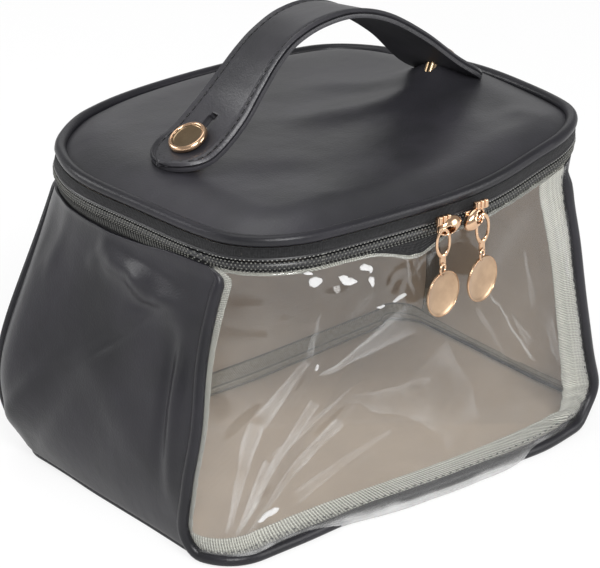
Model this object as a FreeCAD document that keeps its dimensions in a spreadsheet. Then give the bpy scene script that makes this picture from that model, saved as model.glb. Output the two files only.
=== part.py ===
import FreeCAD, Part
import Sketcher
import math
import os

from FreeCAD import Placement, Rotation, Vector

# A soft makeup bag: a clear front window, leather side and back walls, and a zipped lid
# with a strap handle. The frame has +X along the length, -Y to the front and +Z up.
# Its origin is the middle of the underside.

UP = Vector(0, 0, 1)
ACROSS = Vector(0, 1, 0)

SIZES = (
    # The outline at the foot, at the widest part, below the shoulder and at the rim
    ("footHeight", 1.2, "underside panel thickness, where the walls start"),
    ("footLength", 200), ("footDepth", 138), ("footCorner", 20),
    ("footFrontBow", 1500), ("footSideBow", 1500),
    ("bulgeHeight", 38, "where the soft walls stand out most"),
    ("bulgeLength", 211), ("bulgeDepth", 148), ("bulgeCorner", 24),
    ("bulgeFrontBow", 800), ("bulgeSideBow", 700),
    ("shoulderHeight", 80), ("shoulderLength", 196), ("shoulderDepth", 157), ("shoulderCorner", 30),
    ("shoulderFrontBow", 450), ("shoulderSideBow", 400),
    ("rimHeight", 112, "where the zip tape is sewn to the walls"),
    ("rimLength", 180), ("rimDepth", 166), ("rimCorner", 36),
    ("rimFrontBow", 330), ("rimSideBow", 290),
    # Sheet goods
    ("panelThickness", 1.2, "leather"), ("liningThickness", 0.8), ("windowThickness", 0.6),
    ("bindingThickness", 0.6, "woven ribbon round the window"), ("bindingWidth", 8.6),
    ("bindingBottom", 7.5), ("bindingTop", 3.5), ("seamDepth", 94, "between front and back seams"),
    ("pipingProud", 1.5), ("pipingWidth", 3.4), ("boardThickness", 2), ("boardClearance", 0.3),
    ("seamTapeThickness", 0.7), ("seamTapeWidth", 7),
    # The zip
    ("zipRise", 11, "from the rim to the parting plane of the zip"), ("tapeThickness", 0.8),
    ("tapeGap", 0.9),
    ("coilGap", 0.7), ("coilHeight", 2), ("coilProud", 1.6), ("hingeWidth", 90),
    # The lid and the studs, measured up from the parting plane
    ("liningRise", 3.2, "to the underside of the lid"), ("weltRise", 6.5), ("weltInset", 2),
    ("weltRadius", 2.5), ("weltClearance", 0.1), ("domeInset", 11), ("domeHeight", 3.5),
    ("crownInset", 21), ("crownHeight", 6.5, "top of the lid over the welt's middle"),
    ("tentRadius", 17), ("tentTopRadius", 3.6), ("tentHeight", 6.5),
    # The handle and its studs
    ("studSpacing", 120), ("leftStudRise", 18.5), ("rightStudRise", 24),
    ("strapWidth", 31), ("strapLayer", 1.6), ("leftTipReach", 15.5), ("rightTipReach", 22.5),
    ("leftTipDrop", 4), ("rightTipDrop", 10.5), ("archRise", 38), ("slotTravel", 10),
    ("capRadius", 7.8), ("capThickness", 2.8), ("capClearance", 0.9), ("capEdge", 0.8),
    ("postRadius", 2.5), ("postClearance", 0.3), ("postReach", 12), ("washerRadius", 5.5),
    ("washerThickness", 1), ("washerClearance", 0.3),
    # The sliders and what hangs on them
    ("leftSliderPlace", -6.2), ("rightSliderPlace", 12.6), ("sliderLength", 10.5),
    ("sliderHeight", 9), ("sliderInnerHeight", 6), ("sliderPlate", 1.2), ("sliderClearance", 0.3),
    ("dividerLength", 3), ("crownWidth", 2.4), ("crownBar", 1.2), ("crownReach", 2.3),
    ("crownSpan", 7.6), ("linkWidth", 7.4), ("linkLength", 13.2), ("linkBar", 1.2),
    ("linkThickness", 1.2), ("eyeRadius", 1.5), ("eyeBar", 0.45), ("ringRadius", 2.55),
    ("ringBar", 0.55), ("chainClearance", 0.1), ("discRadius", 9.2), ("discThickness", 1),
    ("discEdge", 0.25), ("discHole", 1.5), ("discHoleDrop", 0.52), ("discHoleWall", 0.8),
)

doc = FreeCAD.newDocument("makeup_bag")
sheet = doc.addObject("Spreadsheet::Sheet", "Sizes")
size = {}
for row, (alias, number, *note) in enumerate(SIZES, start=1):
    sheet.set(f"A{row}", note[0] if note else alias)
    sheet.set(f"B{row}", str(number))
    sheet.setAlias(f"B{row}", alias)
    size[alias] = float(number)
doc.recompute()


class Length:
    """A length together with the sheet expression that gives it."""

    def __init__(self, value, text):
        self.value = value
        self.text = text

    def __add__(self, other):
        other = length(other)
        return Length(self.value + other.value, f"({self.text} + {other.text})")

    def __sub__(self, other):
        other = length(other)
        return Length(self.value - other.value, f"({self.text} - {other.text})")

    def __mul__(self, factor):
        return Length(self.value * factor, f"{self.text} * {factor}")

    def __truediv__(self, divisor):
        return Length(self.value / divisor, f"{self.text} / {divisor}")

    def __neg__(self):
        return Length(-self.value, f"(-{self.text})")


def length(source):
    """A Length from an alias of the sheet, a plain number or another Length."""
    if isinstance(source, Length):
        return source
    if isinstance(source, str):
        return Length(size[source], f"Sizes.{source}")
    return Length(source, str(source))


NONE = length(0)
nodes = {}


def node(name, part):
    part.Label = name
    nodes[name] = part
    return part


def bind(part, **lengths):
    for name, value in lengths.items():
        part.setExpression(name.replace("_", "."), length(value).text)


def place(part, x=NONE, y=NONE, z=NONE):
    bind(part, Placement_Base_x=x, Placement_Base_y=y, Placement_Base_z=z)
    return part


# Solids and booleans

def box(name, x, y, z, dx, dy, dz):
    part = doc.addObject("Part::Box", name)
    bind(part, Length=dx, Width=dy, Height=dz)
    return place(part, x, y, z)


def cylinder(name, radius, height, x=NONE, y=NONE, z=NONE):
    part = doc.addObject("Part::Cylinder", name)
    bind(part, Radius=radius, Height=height)
    return place(part, x, y, z)


def cut(name, base, tool):
    part = doc.addObject("Part::Cut", name)
    part.Base, part.Tool = base, tool
    return part


def common(name, base, tool):
    part = doc.addObject("Part::Common", name)
    part.Base, part.Tool = base, tool
    return part


def fuse(name, *shapes):
    part = doc.addObject("Part::MultiFuse", name)
    part.Shapes = list(shapes)
    return part


def extrude(name, sketch, height, direction=UP, symmetric=False):
    part = doc.addObject("Part::Extrusion", name)
    part.Base, part.Dir, part.DirMode = sketch, direction, "Custom"
    part.Solid, part.Symmetric = True, symmetric
    bind(part, LengthFwd=height)
    return part


def loft(name, sections, ruled=False):
    part = doc.addObject("Part::Loft", name)
    part.Sections, part.Solid, part.Ruled = sections, True, ruled
    return part


# Sketches

def drive(sketch, kind, *places, value):
    index = sketch.addConstraint(Sketcher.Constraint(kind, *places, length(value).value))
    sketch.setExpression(f"Constraints[{index}]", length(value).text)


def pin_point(sketch, geometry, point, x, y):
    """Hold a point at x, y from the sketch's origin."""
    for kind, axis, value in (("DistanceX", -2, length(x)), ("DistanceY", -1, length(y))):
        if value.value == 0:
            sketch.addConstraint(Sketcher.Constraint("PointOnObject", geometry, point, axis))
        else:
            drive(sketch, kind, -1, 1, geometry, point, value=value)


def arc(centre, radius, start, stop):
    return Part.ArcOfCircle(Part.Circle(centre, UP, radius), start, stop)


def meeting(centre_a, radius_a, centre_b, radius_b, sign_x, sign_y):
    """Where two circles meet, in the quadrant given by the signs."""
    apart = (centre_b - centre_a).Length
    along = (apart ** 2 + radius_a ** 2 - radius_b ** 2) / (2 * apart)
    off = math.sqrt(radius_a ** 2 - along ** 2)
    way = (centre_b - centre_a) / apart
    for side in (off, -off):
        point = centre_a + way * along + Vector(-way.y, way.x, 0) * side
        if point.x * sign_x > 0 and point.y * sign_y > 0:
            return point


def outline(name, level, height, inset=NONE):
    """A rounded oblong of eight tangent arcs: bowed sides and round corners."""
    inset = length(inset)
    half_length = length(f"{level}Length") / 2
    half_depth = length(f"{level}Depth") / 2
    corner = length(f"{level}Corner") - inset
    front_bow = length(f"{level}FrontBow")
    side_bow = length(f"{level}SideBow")
    front_back = front_bow - half_depth
    side_back = side_bow - half_length
    sides = (
        (Vector(0, front_back.value, 0), front_bow, -2, "DistanceY", (-1, 1), front_back),
        (Vector(-side_back.value, 0, 0), side_bow, -1, "DistanceX", (-1, 1), -side_back),
        (Vector(0, -front_back.value, 0), front_bow, -2, "DistanceY", (-1, 1), -front_back),
        (Vector(side_back.value, 0, 0), side_bow, -1, "DistanceX", (-1, 1), side_back),
    )
    quadrants = ((1, -1), (1, 1), (-1, 1), (-1, -1))
    corners = []
    for index, (sign_x, sign_y) in enumerate(quadrants):
        here, there = sides[index], sides[(index + 1) % 4]
        corners.append(meeting(here[0], here[1].value - inset.value - corner.value,
                               there[0], there[1].value - inset.value - corner.value, sign_x, sign_y))
    sketch = doc.addObject("Sketcher::SketchObject", name)
    pieces = []
    for index, (centre, bow, *rest) in enumerate(sides):
        before, after = corners[index - 1] - centre, corners[index] - centre
        start, stop = math.atan2(before.y, before.x), math.atan2(after.y, after.x)
        next_centre = sides[(index + 1) % 4][0]
        turn = corners[index] - next_centre
        pieces.append(arc(centre, bow.value - inset.value, start, stop))
        pieces.append(arc(corners[index], corner.value, stop, math.atan2(turn.y, turn.x)))
    sketch.addGeometry(pieces, False)
    for index in range(8):
        sketch.addConstraint(Sketcher.Constraint("Tangent", index, 2, (index + 1) % 8, 1))
    for index, (centre, bow, axis, kind, origin, offset) in enumerate(sides):
        sketch.addConstraint(Sketcher.Constraint("PointOnObject", 2 * index, 3, axis))
        drive(sketch, kind, *origin, 2 * index, 3, value=offset)
        drive(sketch, "Radius", 2 * index, value=bow - inset)
        drive(sketch, "Radius", 2 * index + 1, value=corner)
    return place(sketch, z=height)


def stadium(sketch, x, y, travel, radius):
    """A slot shape that starts at x, y and runs along the sketch's X axis."""
    x, y, travel, radius = length(x), length(y), length(travel), length(radius)
    near, far, rise = x.value, x.value + travel.value, Vector(0, radius.value, 0)
    left, right = Vector(near, y.value, 0), Vector(far, y.value, 0)
    first = sketch.GeometryCount
    quarter = math.pi / 2
    sketch.addGeometry([
        arc(left, radius.value, quarter, 3 * quarter), Part.LineSegment(left - rise, right - rise),
        arc(right, radius.value, -quarter, quarter), Part.LineSegment(right + rise, left + rise),
    ], False)
    for index in range(4):
        here, there = first + index, first + (index + 1) % 4
        sketch.addConstraint(Sketcher.Constraint("Tangent", here, 2, there, 1))
    pin_point(sketch, first, 3, x, y)
    pin_point(sketch, first + 2, 3, x + travel, y)
    drive(sketch, "Radius", first, value=radius)
    sketch.addConstraint(Sketcher.Constraint("Equal", first, first + 2))


def circle(sketch, x, y, radius):
    index = sketch.addGeometry(Part.Circle(Vector(length(x).value, length(y).value, 0), UP,
                                           length(radius).value), False)
    pin_point(sketch, index, 3, x, y)
    drive(sketch, "Radius", index, value=radius)


def polygon(sketch, corners):
    """A closed loop of straight lines through pinned corners."""
    points = [Vector(length(x).value, length(y).value, 0) for x, y in corners]
    first = sketch.GeometryCount
    for index, point in enumerate(points):
        sketch.addGeometry(Part.LineSegment(point, points[(index + 1) % len(points)]), False)
    for index, (x, y) in enumerate(corners):
        here, there = first + index, first + (index + 1) % len(points)
        sketch.addConstraint(Sketcher.Constraint("Coincident", here, 2, there, 1))
        pin_point(sketch, here, 1, x, y)


def body_sketch(body, name, role):
    sketch = body.newObject("Sketcher::SketchObject", name)
    plane = [part for part in body.Origin.OriginFeatures if part.Role == role][0]
    sketch.AttachmentSupport = [(plane, "")]
    sketch.MapMode = "FlatFace"
    return sketch


def pad(body, name, sketch, thickness, midplane=False, reverse=False):
    feature = body.newObject("PartDesign::Pad", name)
    feature.Profile = sketch
    feature.Midplane = midplane
    feature.Reversed = reverse
    bind(feature, Length=thickness)
    return feature


# Walls: each skin is the solid inside its outer face less the solid inside its inner face

LEVELS = ("foot", "bulge", "shoulder", "rim")
huge = length("footLength") + length("footDepth")
seam = length("seamDepth") / 2


def wall_solid(name, inset):
    sections = [outline(f"{name}_{level}", level, f"{level}Height", inset) for level in LEVELS]
    return loft(name, sections)


panel = length("panelThickness")
lining = panel + "liningThickness"
window = length("windowThickness")
outer_solid = wall_solid("outer_solid", NONE)
window_core = wall_solid("window_core", window)
binding_core = wall_solid("binding_core", window + "bindingThickness")
panel_core = wall_solid("panel_core", panel)
lining_core = wall_solid("lining_core", lining)
seam_tape_core = wall_solid("seam_tape_core", lining + "seamTapeThickness")
piping_solid = wall_solid("piping_solid", -length("pipingProud"))


def front_zone(name):
    return box(name, -huge / 2, -huge / 2, NONE, huge, huge / 2 - seam, huge)


def back_zone(name):
    return box(name, -huge / 2, seam, NONE, huge, huge / 2 - seam, huge)


def side_zone(name, side):
    corner = -huge / 2 if side == "left" else NONE
    return box(name, corner, -seam, NONE, huge / 2, seam * 2, huge)


def make_walls():
    panels = cut("panel_skin", outer_solid, panel_core)
    linings = cut("lining_skin", panel_core, lining_core)
    for side in ("left", "right"):
        zone = side_zone(f"{side}_zone", side)
        node(f"{side}_side_panel", common(f"{side}_side_panel", panels, zone))
        node(f"{side}_side_lining", common(f"{side}_side_lining", linings, zone))
    zone = back_zone("back_zone")
    node("back_panel", common("back_panel", panels, zone))
    node("back_lining", common("back_lining", linings, zone))


def make_window():
    zone = front_zone("front_zone")
    clear = cut("window_skin", outer_solid, window_core)
    node("front_window", common("front_window", clear, zone))
    ribbon = common("ribbon_skin", cut("ribbon_tube", window_core, binding_core), zone)
    low = length("footHeight") + "bindingBottom"
    pane = box("pane_opening", -huge / 2, -huge / 2, low, huge, huge / 2 - seam - "bindingWidth",
               length("rimHeight") - "bindingTop" - low)
    node("window_binding", cut("window_binding", ribbon, pane))


def make_seams():
    pipes = cut("piping_skin", piping_solid, outer_solid)
    tapes = cut("seam_tape_skin", lining_core, seam_tape_core)
    width = length("pipingWidth")
    tape_width = length("seamTapeWidth")
    top = length("rimHeight")
    for side in ("left", "right"):
        corner = -huge / 2 if side == "left" else NONE
        for end, middle in (("front", -seam), ("back", seam)):
            strip = box(f"{end}_{side}_strip", corner, middle - width / 2, NONE, huge / 2, width, huge)
            name = f"{end}_{side}_piping"
            node(name, common(name, pipes, strip))
        strip = box(f"back_{side}_tape_strip", corner, seam - tape_width / 2,
                    length("footHeight") + "boardThickness" + "liningThickness" + tape_width,
                    huge / 2, tape_width, top)
        node(f"back_{side}_seam_tape", common(f"back_{side}_seam_tape", tapes, strip))
    strip = box("floor_tape_strip", -huge / 2, -seam,
                length("footHeight") + "boardThickness" + "liningThickness",
                huge, huge / 2 + seam, tape_width)
    node("floor_seam_tape", common("floor_seam_tape", tapes, strip))


def make_bottom():
    thickness = length("footHeight")
    node("bottom_panel", extrude("bottom_panel", outline("bottom_outline", "foot", NONE), thickness))
    board = outline("board_outline", "foot", thickness, lining + "boardClearance")
    node("bottom_board", extrude("bottom_board", board, "boardThickness"))
    cloth = outline("floor_outline", "foot", thickness + "boardThickness", lining + "boardClearance")
    node("bottom_lining", extrude("bottom_lining", cloth, "liningThickness"))


# The zip: a tape and a coil on each side of the parting plane, open at the hinge

zip_plane = length("rimHeight") + "zipRise"


def ring(name, outside, inside, bottom, height):
    outer = extrude(f"{name}_outer", outline(f"{name}_outer_line", "rim", bottom, outside), height)
    inner = extrude(f"{name}_inner", outline(f"{name}_inner_line", "rim", bottom, inside), height)
    return cut(f"{name}_ring", outer, inner)


def make_zip():
    half = length("hingeWidth") / 2
    tape = length("tapeThickness")
    proud = length("coilProud")
    parting = zip_plane
    low_edge = parting - "tapeGap"
    high_edge = parting + "tapeGap"
    lid_seam = zip_plane + "weltRise" - "weltRadius"
    hinge = box("hinge_zone", -half, NONE, length("rimHeight"), half * 2, huge, huge)
    rims = (
        ("lower", length("rimHeight"), low_edge, parting - "coilGap" - "coilHeight"),
        ("upper", high_edge, lid_seam, parting + "coilGap"),
    )
    for where, bottom, top, coil_bottom in rims:
        tapes = ring(f"{where}_tape", NONE, tape, bottom, top - bottom)
        node(f"{where}_zip_tape", cut(f"{where}_zip_tape", tapes, hinge))
        node(f"back_hinge_{where}", common(f"back_hinge_{where}", tapes, hinge))
        coils = ring(f"{where}_coil", -proud, NONE, coil_bottom, "coilHeight")
        node(f"{where}_zip_coil", cut(f"{where}_zip_coil", coils, hinge))


# The lid: lining, foam and a domed leather panel inside a rolled welt

def make_lid(stud_places):
    base = zip_plane + "liningRise"
    foam_base = base + "liningThickness"
    welt = zip_plane + "weltRise"
    leather = length("panelThickness")
    edge = length("weltInset") + "weltRadius" + "weltClearance"
    node("lid_lining", extrude("lid_lining", outline("lid_lining_line", "rim", base, "tapeThickness"),
                               "liningThickness"))
    levels = ((welt, edge), (welt + "domeHeight", length("domeInset")),
              (welt + "crownHeight", length("crownInset")))
    outer = loft("dome_outer", [outline(f"dome_line_{step}", "rim", height, inset)
                                for step, (height, inset) in enumerate(levels)], ruled=True)
    inner_levels = ((foam_base, edge + leather), (welt, edge + leather),
                    (welt + "domeHeight" - leather, length("domeInset") + leather),
                    (welt + "crownHeight" - leather, length("crownInset") + leather))
    foam = loft("foam_block", [outline(f"foam_line_{step}", "rim", height, inset)
                               for step, (height, inset) in enumerate(inner_levels)], ruled=True)
    tent = doc.addObject("Part::Cone", "tent")
    bind(tent, Radius1="tentRadius", Radius2="tentTopRadius",
         Height=length("tentHeight") + leather / 2)
    place(tent, x=length("studSpacing") / 2, z=welt + "crownHeight" - leather / 2)
    leather_panel = fuse("lid_leather", cut("dome_skin", outer, foam), cut("tent_skin", tent, foam))
    holes = fuse("stud_holes", *[stud_hole(side, spot) for side, spot in stud_places.items()])
    node("lid_panel", cut("lid_panel", leather_panel, holes))
    node("lid_foam", cut("lid_foam", foam, holes))
    make_welt(welt)


def make_welt(height):
    """A round cord in leather that follows the lid's outline."""
    path = outline("welt_path", "rim", height, "weltInset")
    profile = doc.addObject("Sketcher::SketchObject", "welt_profile")
    circle(profile, NONE, NONE, "weltRadius")
    profile.Placement = Placement(Vector(), Rotation(Vector(1, 0, 0), 90))
    start = path.Geometry[-1].EndPoint
    doc.recompute()
    profile.Placement = Placement(Vector(start.x, start.y, height.value), across_path(start, path))
    sweep = doc.addObject("Part::Sweep", "lid_welt")
    sweep.Sections = [profile]
    sweep.Spine = (path, [f"Edge{index}" for index in range(1, 9)])
    sweep.Solid, sweep.Frenet = True, True
    node("lid_welt", sweep)


def across_path(start, path):
    """The turn that stands a flat profile square to the path's first point."""
    first = path.Geometry[0]
    way = first.tangent(first.FirstParameter)[0]
    return Rotation(UP, way)


# The handle: two layers of strap on one arched line, slotted at both studs

ARCH = ((-0.78, 0.28), (-0.6, 0.6), (-0.46, 0.83), (-0.32, 0.95), (-0.12, 1.0),
        (0.13, 0.95), (0.4, 0.79), (0.7, 0.51))


def strap_line():
    """The middle line of the strap, from tip to tip, and its curve parameters at the studs."""
    reach = size["studSpacing"] / 2
    left, right = (zip_plane + "leftStudRise").value, (zip_plane + "rightStudRise").value
    points = [Vector(-reach - size["leftTipReach"], 0, left - size["leftTipDrop"]),
              Vector(-reach, 0, left)]
    points += [Vector(x * reach, 0, left + z * size["archRise"]) for x, z in ARCH]
    points += [Vector(reach, 0, right),
               Vector(reach + size["rightTipReach"], 0, right - size["rightTipDrop"])]
    curve = Part.BSplineCurve()
    curve.interpolate(points)
    return curve, (points[1], points[-2])


def stud_frames(curve, spots):
    """Placements at the studs with Z square to the strap."""
    frames = {}
    for side, spot in zip(("left", "right"), spots):
        way = curve.tangent(curve.parameter(spot))[0]
        frames[side] = Placement(spot, Rotation(way, ACROSS, way.cross(ACROSS), "XZY"))
    return frames


def strap_slot(side, frame):
    """The slot lets the strap end slide on its post: inboard on the left, outboard on the right."""
    sketch = doc.addObject("Sketcher::SketchObject", f"{side}_slot_line")
    stadium(sketch, NONE, NONE, "slotTravel", length("postRadius") + "postClearance")
    depth = length("strapLayer") * 6
    tool = extrude(f"{side}_slot", sketch, depth, symmetric=True)
    tool.Placement = frame
    return tool


def make_handle(curve, frames):
    width = size["strapWidth"]
    line = curve.toShape()
    line.translate(Vector(0, -width / 2, 0))
    surface = line.extrude(Vector(0, width, 0))
    tips = doc.addObject("Sketcher::SketchObject", "strap_tip_line")
    half = length("strapWidth") / 2
    start = -length("studSpacing") / 2 - "leftTipReach" + half
    span = length("studSpacing") + "leftTipReach" + "rightTipReach" - "strapWidth"
    stadium(tips, start, NONE, span, half)
    plan = extrude("strap_plan", tips, zip_plane * 2)
    slots = fuse("strap_slots", *[strap_slot(side, frame) for side, frame in frames.items()])
    for name, side in (("handle_upper_strap", -1), ("handle_under_strap", 1)):
        layer = doc.addObject("Part::Feature", f"{name}_sheet")
        layer.Shape = surface.makeOffsetShape(side * size["strapLayer"], 1e-3, fill=True)
        trimmed = common(f"{name}_outline", layer, plan)
        node(name, cut(name, trimmed, slots))


def make_stud(side, frame):
    """A flat cap on a post, turned as one piece."""
    body = doc.addObject("PartDesign::Body", f"{side}_stud")
    sketch = body_sketch(body, f"{side}_stud_profile", "XZ_Plane")
    under = length("strapLayer") + "capClearance"
    top = under + "capThickness"
    polygon(sketch, ((NONE, -length("postReach")), ("postRadius", -length("postReach")),
                     ("postRadius", under), ("capRadius", under), ("capRadius", top), (NONE, top)))
    turn = body.newObject("PartDesign::Revolution", f"{side}_stud_turning")
    turn.Profile = sketch
    turn.ReferenceAxis = (sketch, ["V_Axis"])
    turn.Angle = 360
    doc.recompute()
    rims = [f"Edge{index}" for index, edge in enumerate(turn.Shape.Edges, start=1)
            if edge.Curve.TypeId == "Part::GeomCircle" and edge.Curve.Radius > size["capRadius"] - 0.01]
    soft = body.newObject("PartDesign::Fillet", f"{side}_stud_edges")
    soft.Base = (turn, rims)
    bind(soft, Radius="capEdge")
    body.Placement = frame
    node(f"{side}_handle_stud", body)
    make_washer(side, frame)


def make_washer(side, frame):
    body = doc.addObject("PartDesign::Body", f"{side}_washer")
    sketch = body_sketch(body, f"{side}_washer_line", "XY_Plane")
    circle(sketch, NONE, NONE, "washerRadius")
    circle(sketch, NONE, NONE, "postRadius")
    pad(body, f"{side}_washer_pad", sketch, "washerThickness")
    body.Placement = frame.multiply(Placement(Vector(0, 0, -size["postReach"]), Rotation()))
    node(f"{side}_stud_washer", body)


def stud_hole(side, frame):
    """The bore for a post and the pocket for its washer, through the lid's layers."""
    clear = length("washerClearance")
    bore = cylinder(f"{side}_bore", length("postRadius") + "postClearance",
                    length("postReach") * 2, z=-length("postReach"))
    pocket = cylinder(f"{side}_pocket", length("washerRadius") + clear,
                      length("washerThickness") + clear * 2, z=-length("postReach") - clear)
    tool = fuse(f"{side}_stud_hole", bore, pocket)
    tool.Placement = frame
    return tool


# Sliders and pulls, drawn at the middle of the front and turned along the front bow

front = -length("rimDepth") / 2
coil_face = front - "coilProud"
plate_back = coil_face - "sliderClearance"
plate_face = plate_back - "sliderPlate"
chain_plane = plate_face - length("crownReach") / 2


def turn_to(side):
    """The turn about the front bow's centre that carries a slider to its place."""
    centre = Vector(0, size["rimFrontBow"] - size["rimDepth"] / 2, 0)
    angle = math.degrees(math.asin(size[f"{side}SliderPlace"] / size["rimFrontBow"]))
    return Placement(Vector(), Rotation(UP, angle), centre)


def centred_box(name, dx, y, dy, z, dz):
    return box(name, -length(dx) / 2, y, z, dx, dy, dz)


def make_slider(side):
    parting = zip_plane
    plate = length("sliderPlate")
    tape_back = front + "tapeThickness" + "sliderClearance"
    play = length("coilGap") - "sliderClearance"
    outer = centred_box(f"{side}_outer_plate", "sliderLength", plate_face, plate,
                        parting - length("sliderHeight") / 2, "sliderHeight")
    divider = centred_box(f"{side}_divider", "dividerLength", plate_face, tape_back - plate_face + plate / 2,
                          parting - play, play * 2)
    inner = centred_box(f"{side}_inner_plate", "sliderLength", tape_back, plate,
                        parting - length("sliderInnerHeight") / 2 - "tapeGap", "sliderInnerHeight")
    bridge = doc.addObject("Sketcher::SketchObject", f"{side}_bridge_line")
    bar = length("crownBar")
    span = length("crownSpan") / 2
    polygon(bridge, ((-span, NONE), (-span, length("crownReach") + bar), (span, length("crownReach") + bar),
                     (span, NONE), (span - bar, NONE), (span - bar, "crownReach"),
                     (bar - span, "crownReach"), (bar - span, NONE)))
    bridge.Placement = Placement(Vector(0, plate_face.value, zip_plane.value),
                                 Rotation(Vector(0, 0, 1), Vector(0, -1, 0), Vector(1, 0, 0), "ZXY"))
    arch = extrude(f"{side}_bridge", bridge, "crownWidth", Vector(1, 0, 0), symmetric=True)
    tool = fuse(f"{side}_slider", outer, divider, inner, arch)
    tool.Placement = turn_to(side)
    node(f"{side}_slider", tool)


def chain_heights():
    """Heights of the link's top bar, its eye, the jump ring and the disc."""
    bar = zip_plane + "linkBar"
    eye = bar + length("linkBar") / 2 - "linkLength" - "eyeRadius"
    wire = eye - "eyeRadius"
    ring_top = wire + "eyeBar" + "ringBar" + "chainClearance"
    ring_middle = ring_top - "ringRadius"
    disc_hole = ring_middle - "ringRadius" - "discHoleDrop"
    disc = disc_hole + "discHole" + "discHoleWall" - "discRadius"
    return bar, eye, ring_middle, disc_hole, disc


def make_pull(side):
    bar, eye, ring_middle, disc_hole, disc = chain_heights()
    turned = turn_to(side)
    flat = Rotation(Vector(1, 0, 0), 90)
    half = length("linkWidth") / 2
    run = length("linkLength") - "linkWidth"
    loop = doc.addObject("Sketcher::SketchObject", f"{side}_link_line")
    stadium(loop, NONE, NONE, run, half)
    stadium(loop, NONE, NONE, run, half - "linkBar")
    loop.Placement = Placement(
        Vector(0, chain_plane.value, bar.value + size["linkBar"] / 2 - half.value),
        Rotation(Vector(0, 0, -1), Vector(-1, 0, 0), Vector(0, 1, 0), "XYZ"))
    oval = extrude(f"{side}_oval", loop, "linkThickness", ACROSS, symmetric=True)
    eye_ring = doc.addObject("Part::Torus", f"{side}_eye")
    bind(eye_ring, Radius1="eyeRadius", Radius2="eyeBar")
    eye_ring.Placement = Placement(Vector(0, chain_plane.value, eye.value), flat)
    link = fuse(f"{side}_link", oval, eye_ring)
    link.Placement = turned
    node(f"{side}_pull_link", link)

    hoop = doc.addObject("Part::Torus", f"{side}_ring")
    bind(hoop, Radius1="ringRadius", Radius2="ringBar")
    upright = Placement(Vector(0, chain_plane.value, ring_middle.value), Rotation(ACROSS, 90))
    hoop.Placement = turned.multiply(upright)
    node(f"{side}_jump_ring", hoop)

    body = doc.addObject("PartDesign::Body", f"{side}_disc")
    sketch = body_sketch(body, f"{side}_disc_line", "XY_Plane")
    circle(sketch, NONE, NONE, "discRadius")
    circle(sketch, NONE, disc_hole - disc, "discHole")
    blank = pad(body, f"{side}_disc_blank", sketch, "discThickness", midplane=True)
    doc.recompute()
    rims = [f"Edge{index}" for index, edge in enumerate(blank.Shape.Edges, start=1)
            if edge.Curve.TypeId == "Part::GeomCircle" and edge.Curve.Radius > size["discHole"] + 0.01]
    soft = body.newObject("PartDesign::Fillet", f"{side}_disc_edges")
    soft.Base = (blank, rims)
    bind(soft, Radius="discEdge")
    body.Placement = turned.multiply(Placement(Vector(0, chain_plane.value, disc.value), flat))
    node(f"{side}_pull_disc", body)


def check(parts):
    """Stop on a failed object, or on a node whose shape is empty or broken."""
    for part in doc.Objects:
        if "Invalid" in part.State or "Error" in part.State:
            raise RuntimeError(f"{part.Label}: {part.State}")
    for name, part in parts.items():
        if part.Shape.isNull() or not part.Shape.isValid() or not part.Shape.Solids:
            raise RuntimeError(f"{name} has no valid solid")


make_bottom()
make_walls()
make_window()
make_seams()
make_zip()
strap_curve, stud_spots = strap_line()
frames = stud_frames(strap_curve, stud_spots)
make_lid(frames)
make_handle(strap_curve, frames)
for hand in ("left", "right"):
    make_stud(hand, frames[hand])
    make_slider(hand)
    make_pull(hand)
doc.recompute()
check(nodes)

os.makedirs("parts", exist_ok=True)
for name, part in nodes.items():
    part.Shape.exportStep(f"parts/{name}.step")
    print(f"{name}: {part.Shape.Volume:.0f} mm3, {len(part.Shape.Solids)} solid")
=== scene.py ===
import math
import bpy
import bmesh
from mathutils import Matrix, Vector, noise


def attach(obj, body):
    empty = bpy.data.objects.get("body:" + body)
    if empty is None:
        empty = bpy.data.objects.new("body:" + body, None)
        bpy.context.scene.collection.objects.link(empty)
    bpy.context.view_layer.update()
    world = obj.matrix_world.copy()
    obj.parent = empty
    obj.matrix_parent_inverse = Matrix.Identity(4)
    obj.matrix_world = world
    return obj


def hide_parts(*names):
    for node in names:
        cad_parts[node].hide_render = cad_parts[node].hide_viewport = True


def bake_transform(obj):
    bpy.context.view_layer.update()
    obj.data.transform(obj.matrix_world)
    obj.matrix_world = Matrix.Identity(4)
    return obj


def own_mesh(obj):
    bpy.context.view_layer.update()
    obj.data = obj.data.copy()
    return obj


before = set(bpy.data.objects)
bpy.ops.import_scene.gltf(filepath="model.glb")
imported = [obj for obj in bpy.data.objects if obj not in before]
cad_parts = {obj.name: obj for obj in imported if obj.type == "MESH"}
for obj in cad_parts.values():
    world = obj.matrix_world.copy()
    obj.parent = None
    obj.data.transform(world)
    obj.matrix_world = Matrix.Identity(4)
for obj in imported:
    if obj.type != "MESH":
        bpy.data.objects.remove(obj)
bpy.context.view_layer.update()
print("frame loaded")

toMetres = 0.001    # shapes below are worked out in millimetres
fullTurn = 2 * math.pi
quarterTurn = math.pi / 2


# Finishes

def sumOf(operation, flipped=False):    # a method that adds one Math node
    def made(self, *others):
        values = (*others, self) if flipped else (self, *others)
        return self.nodes.sums(operation, *values)
    return made


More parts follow.
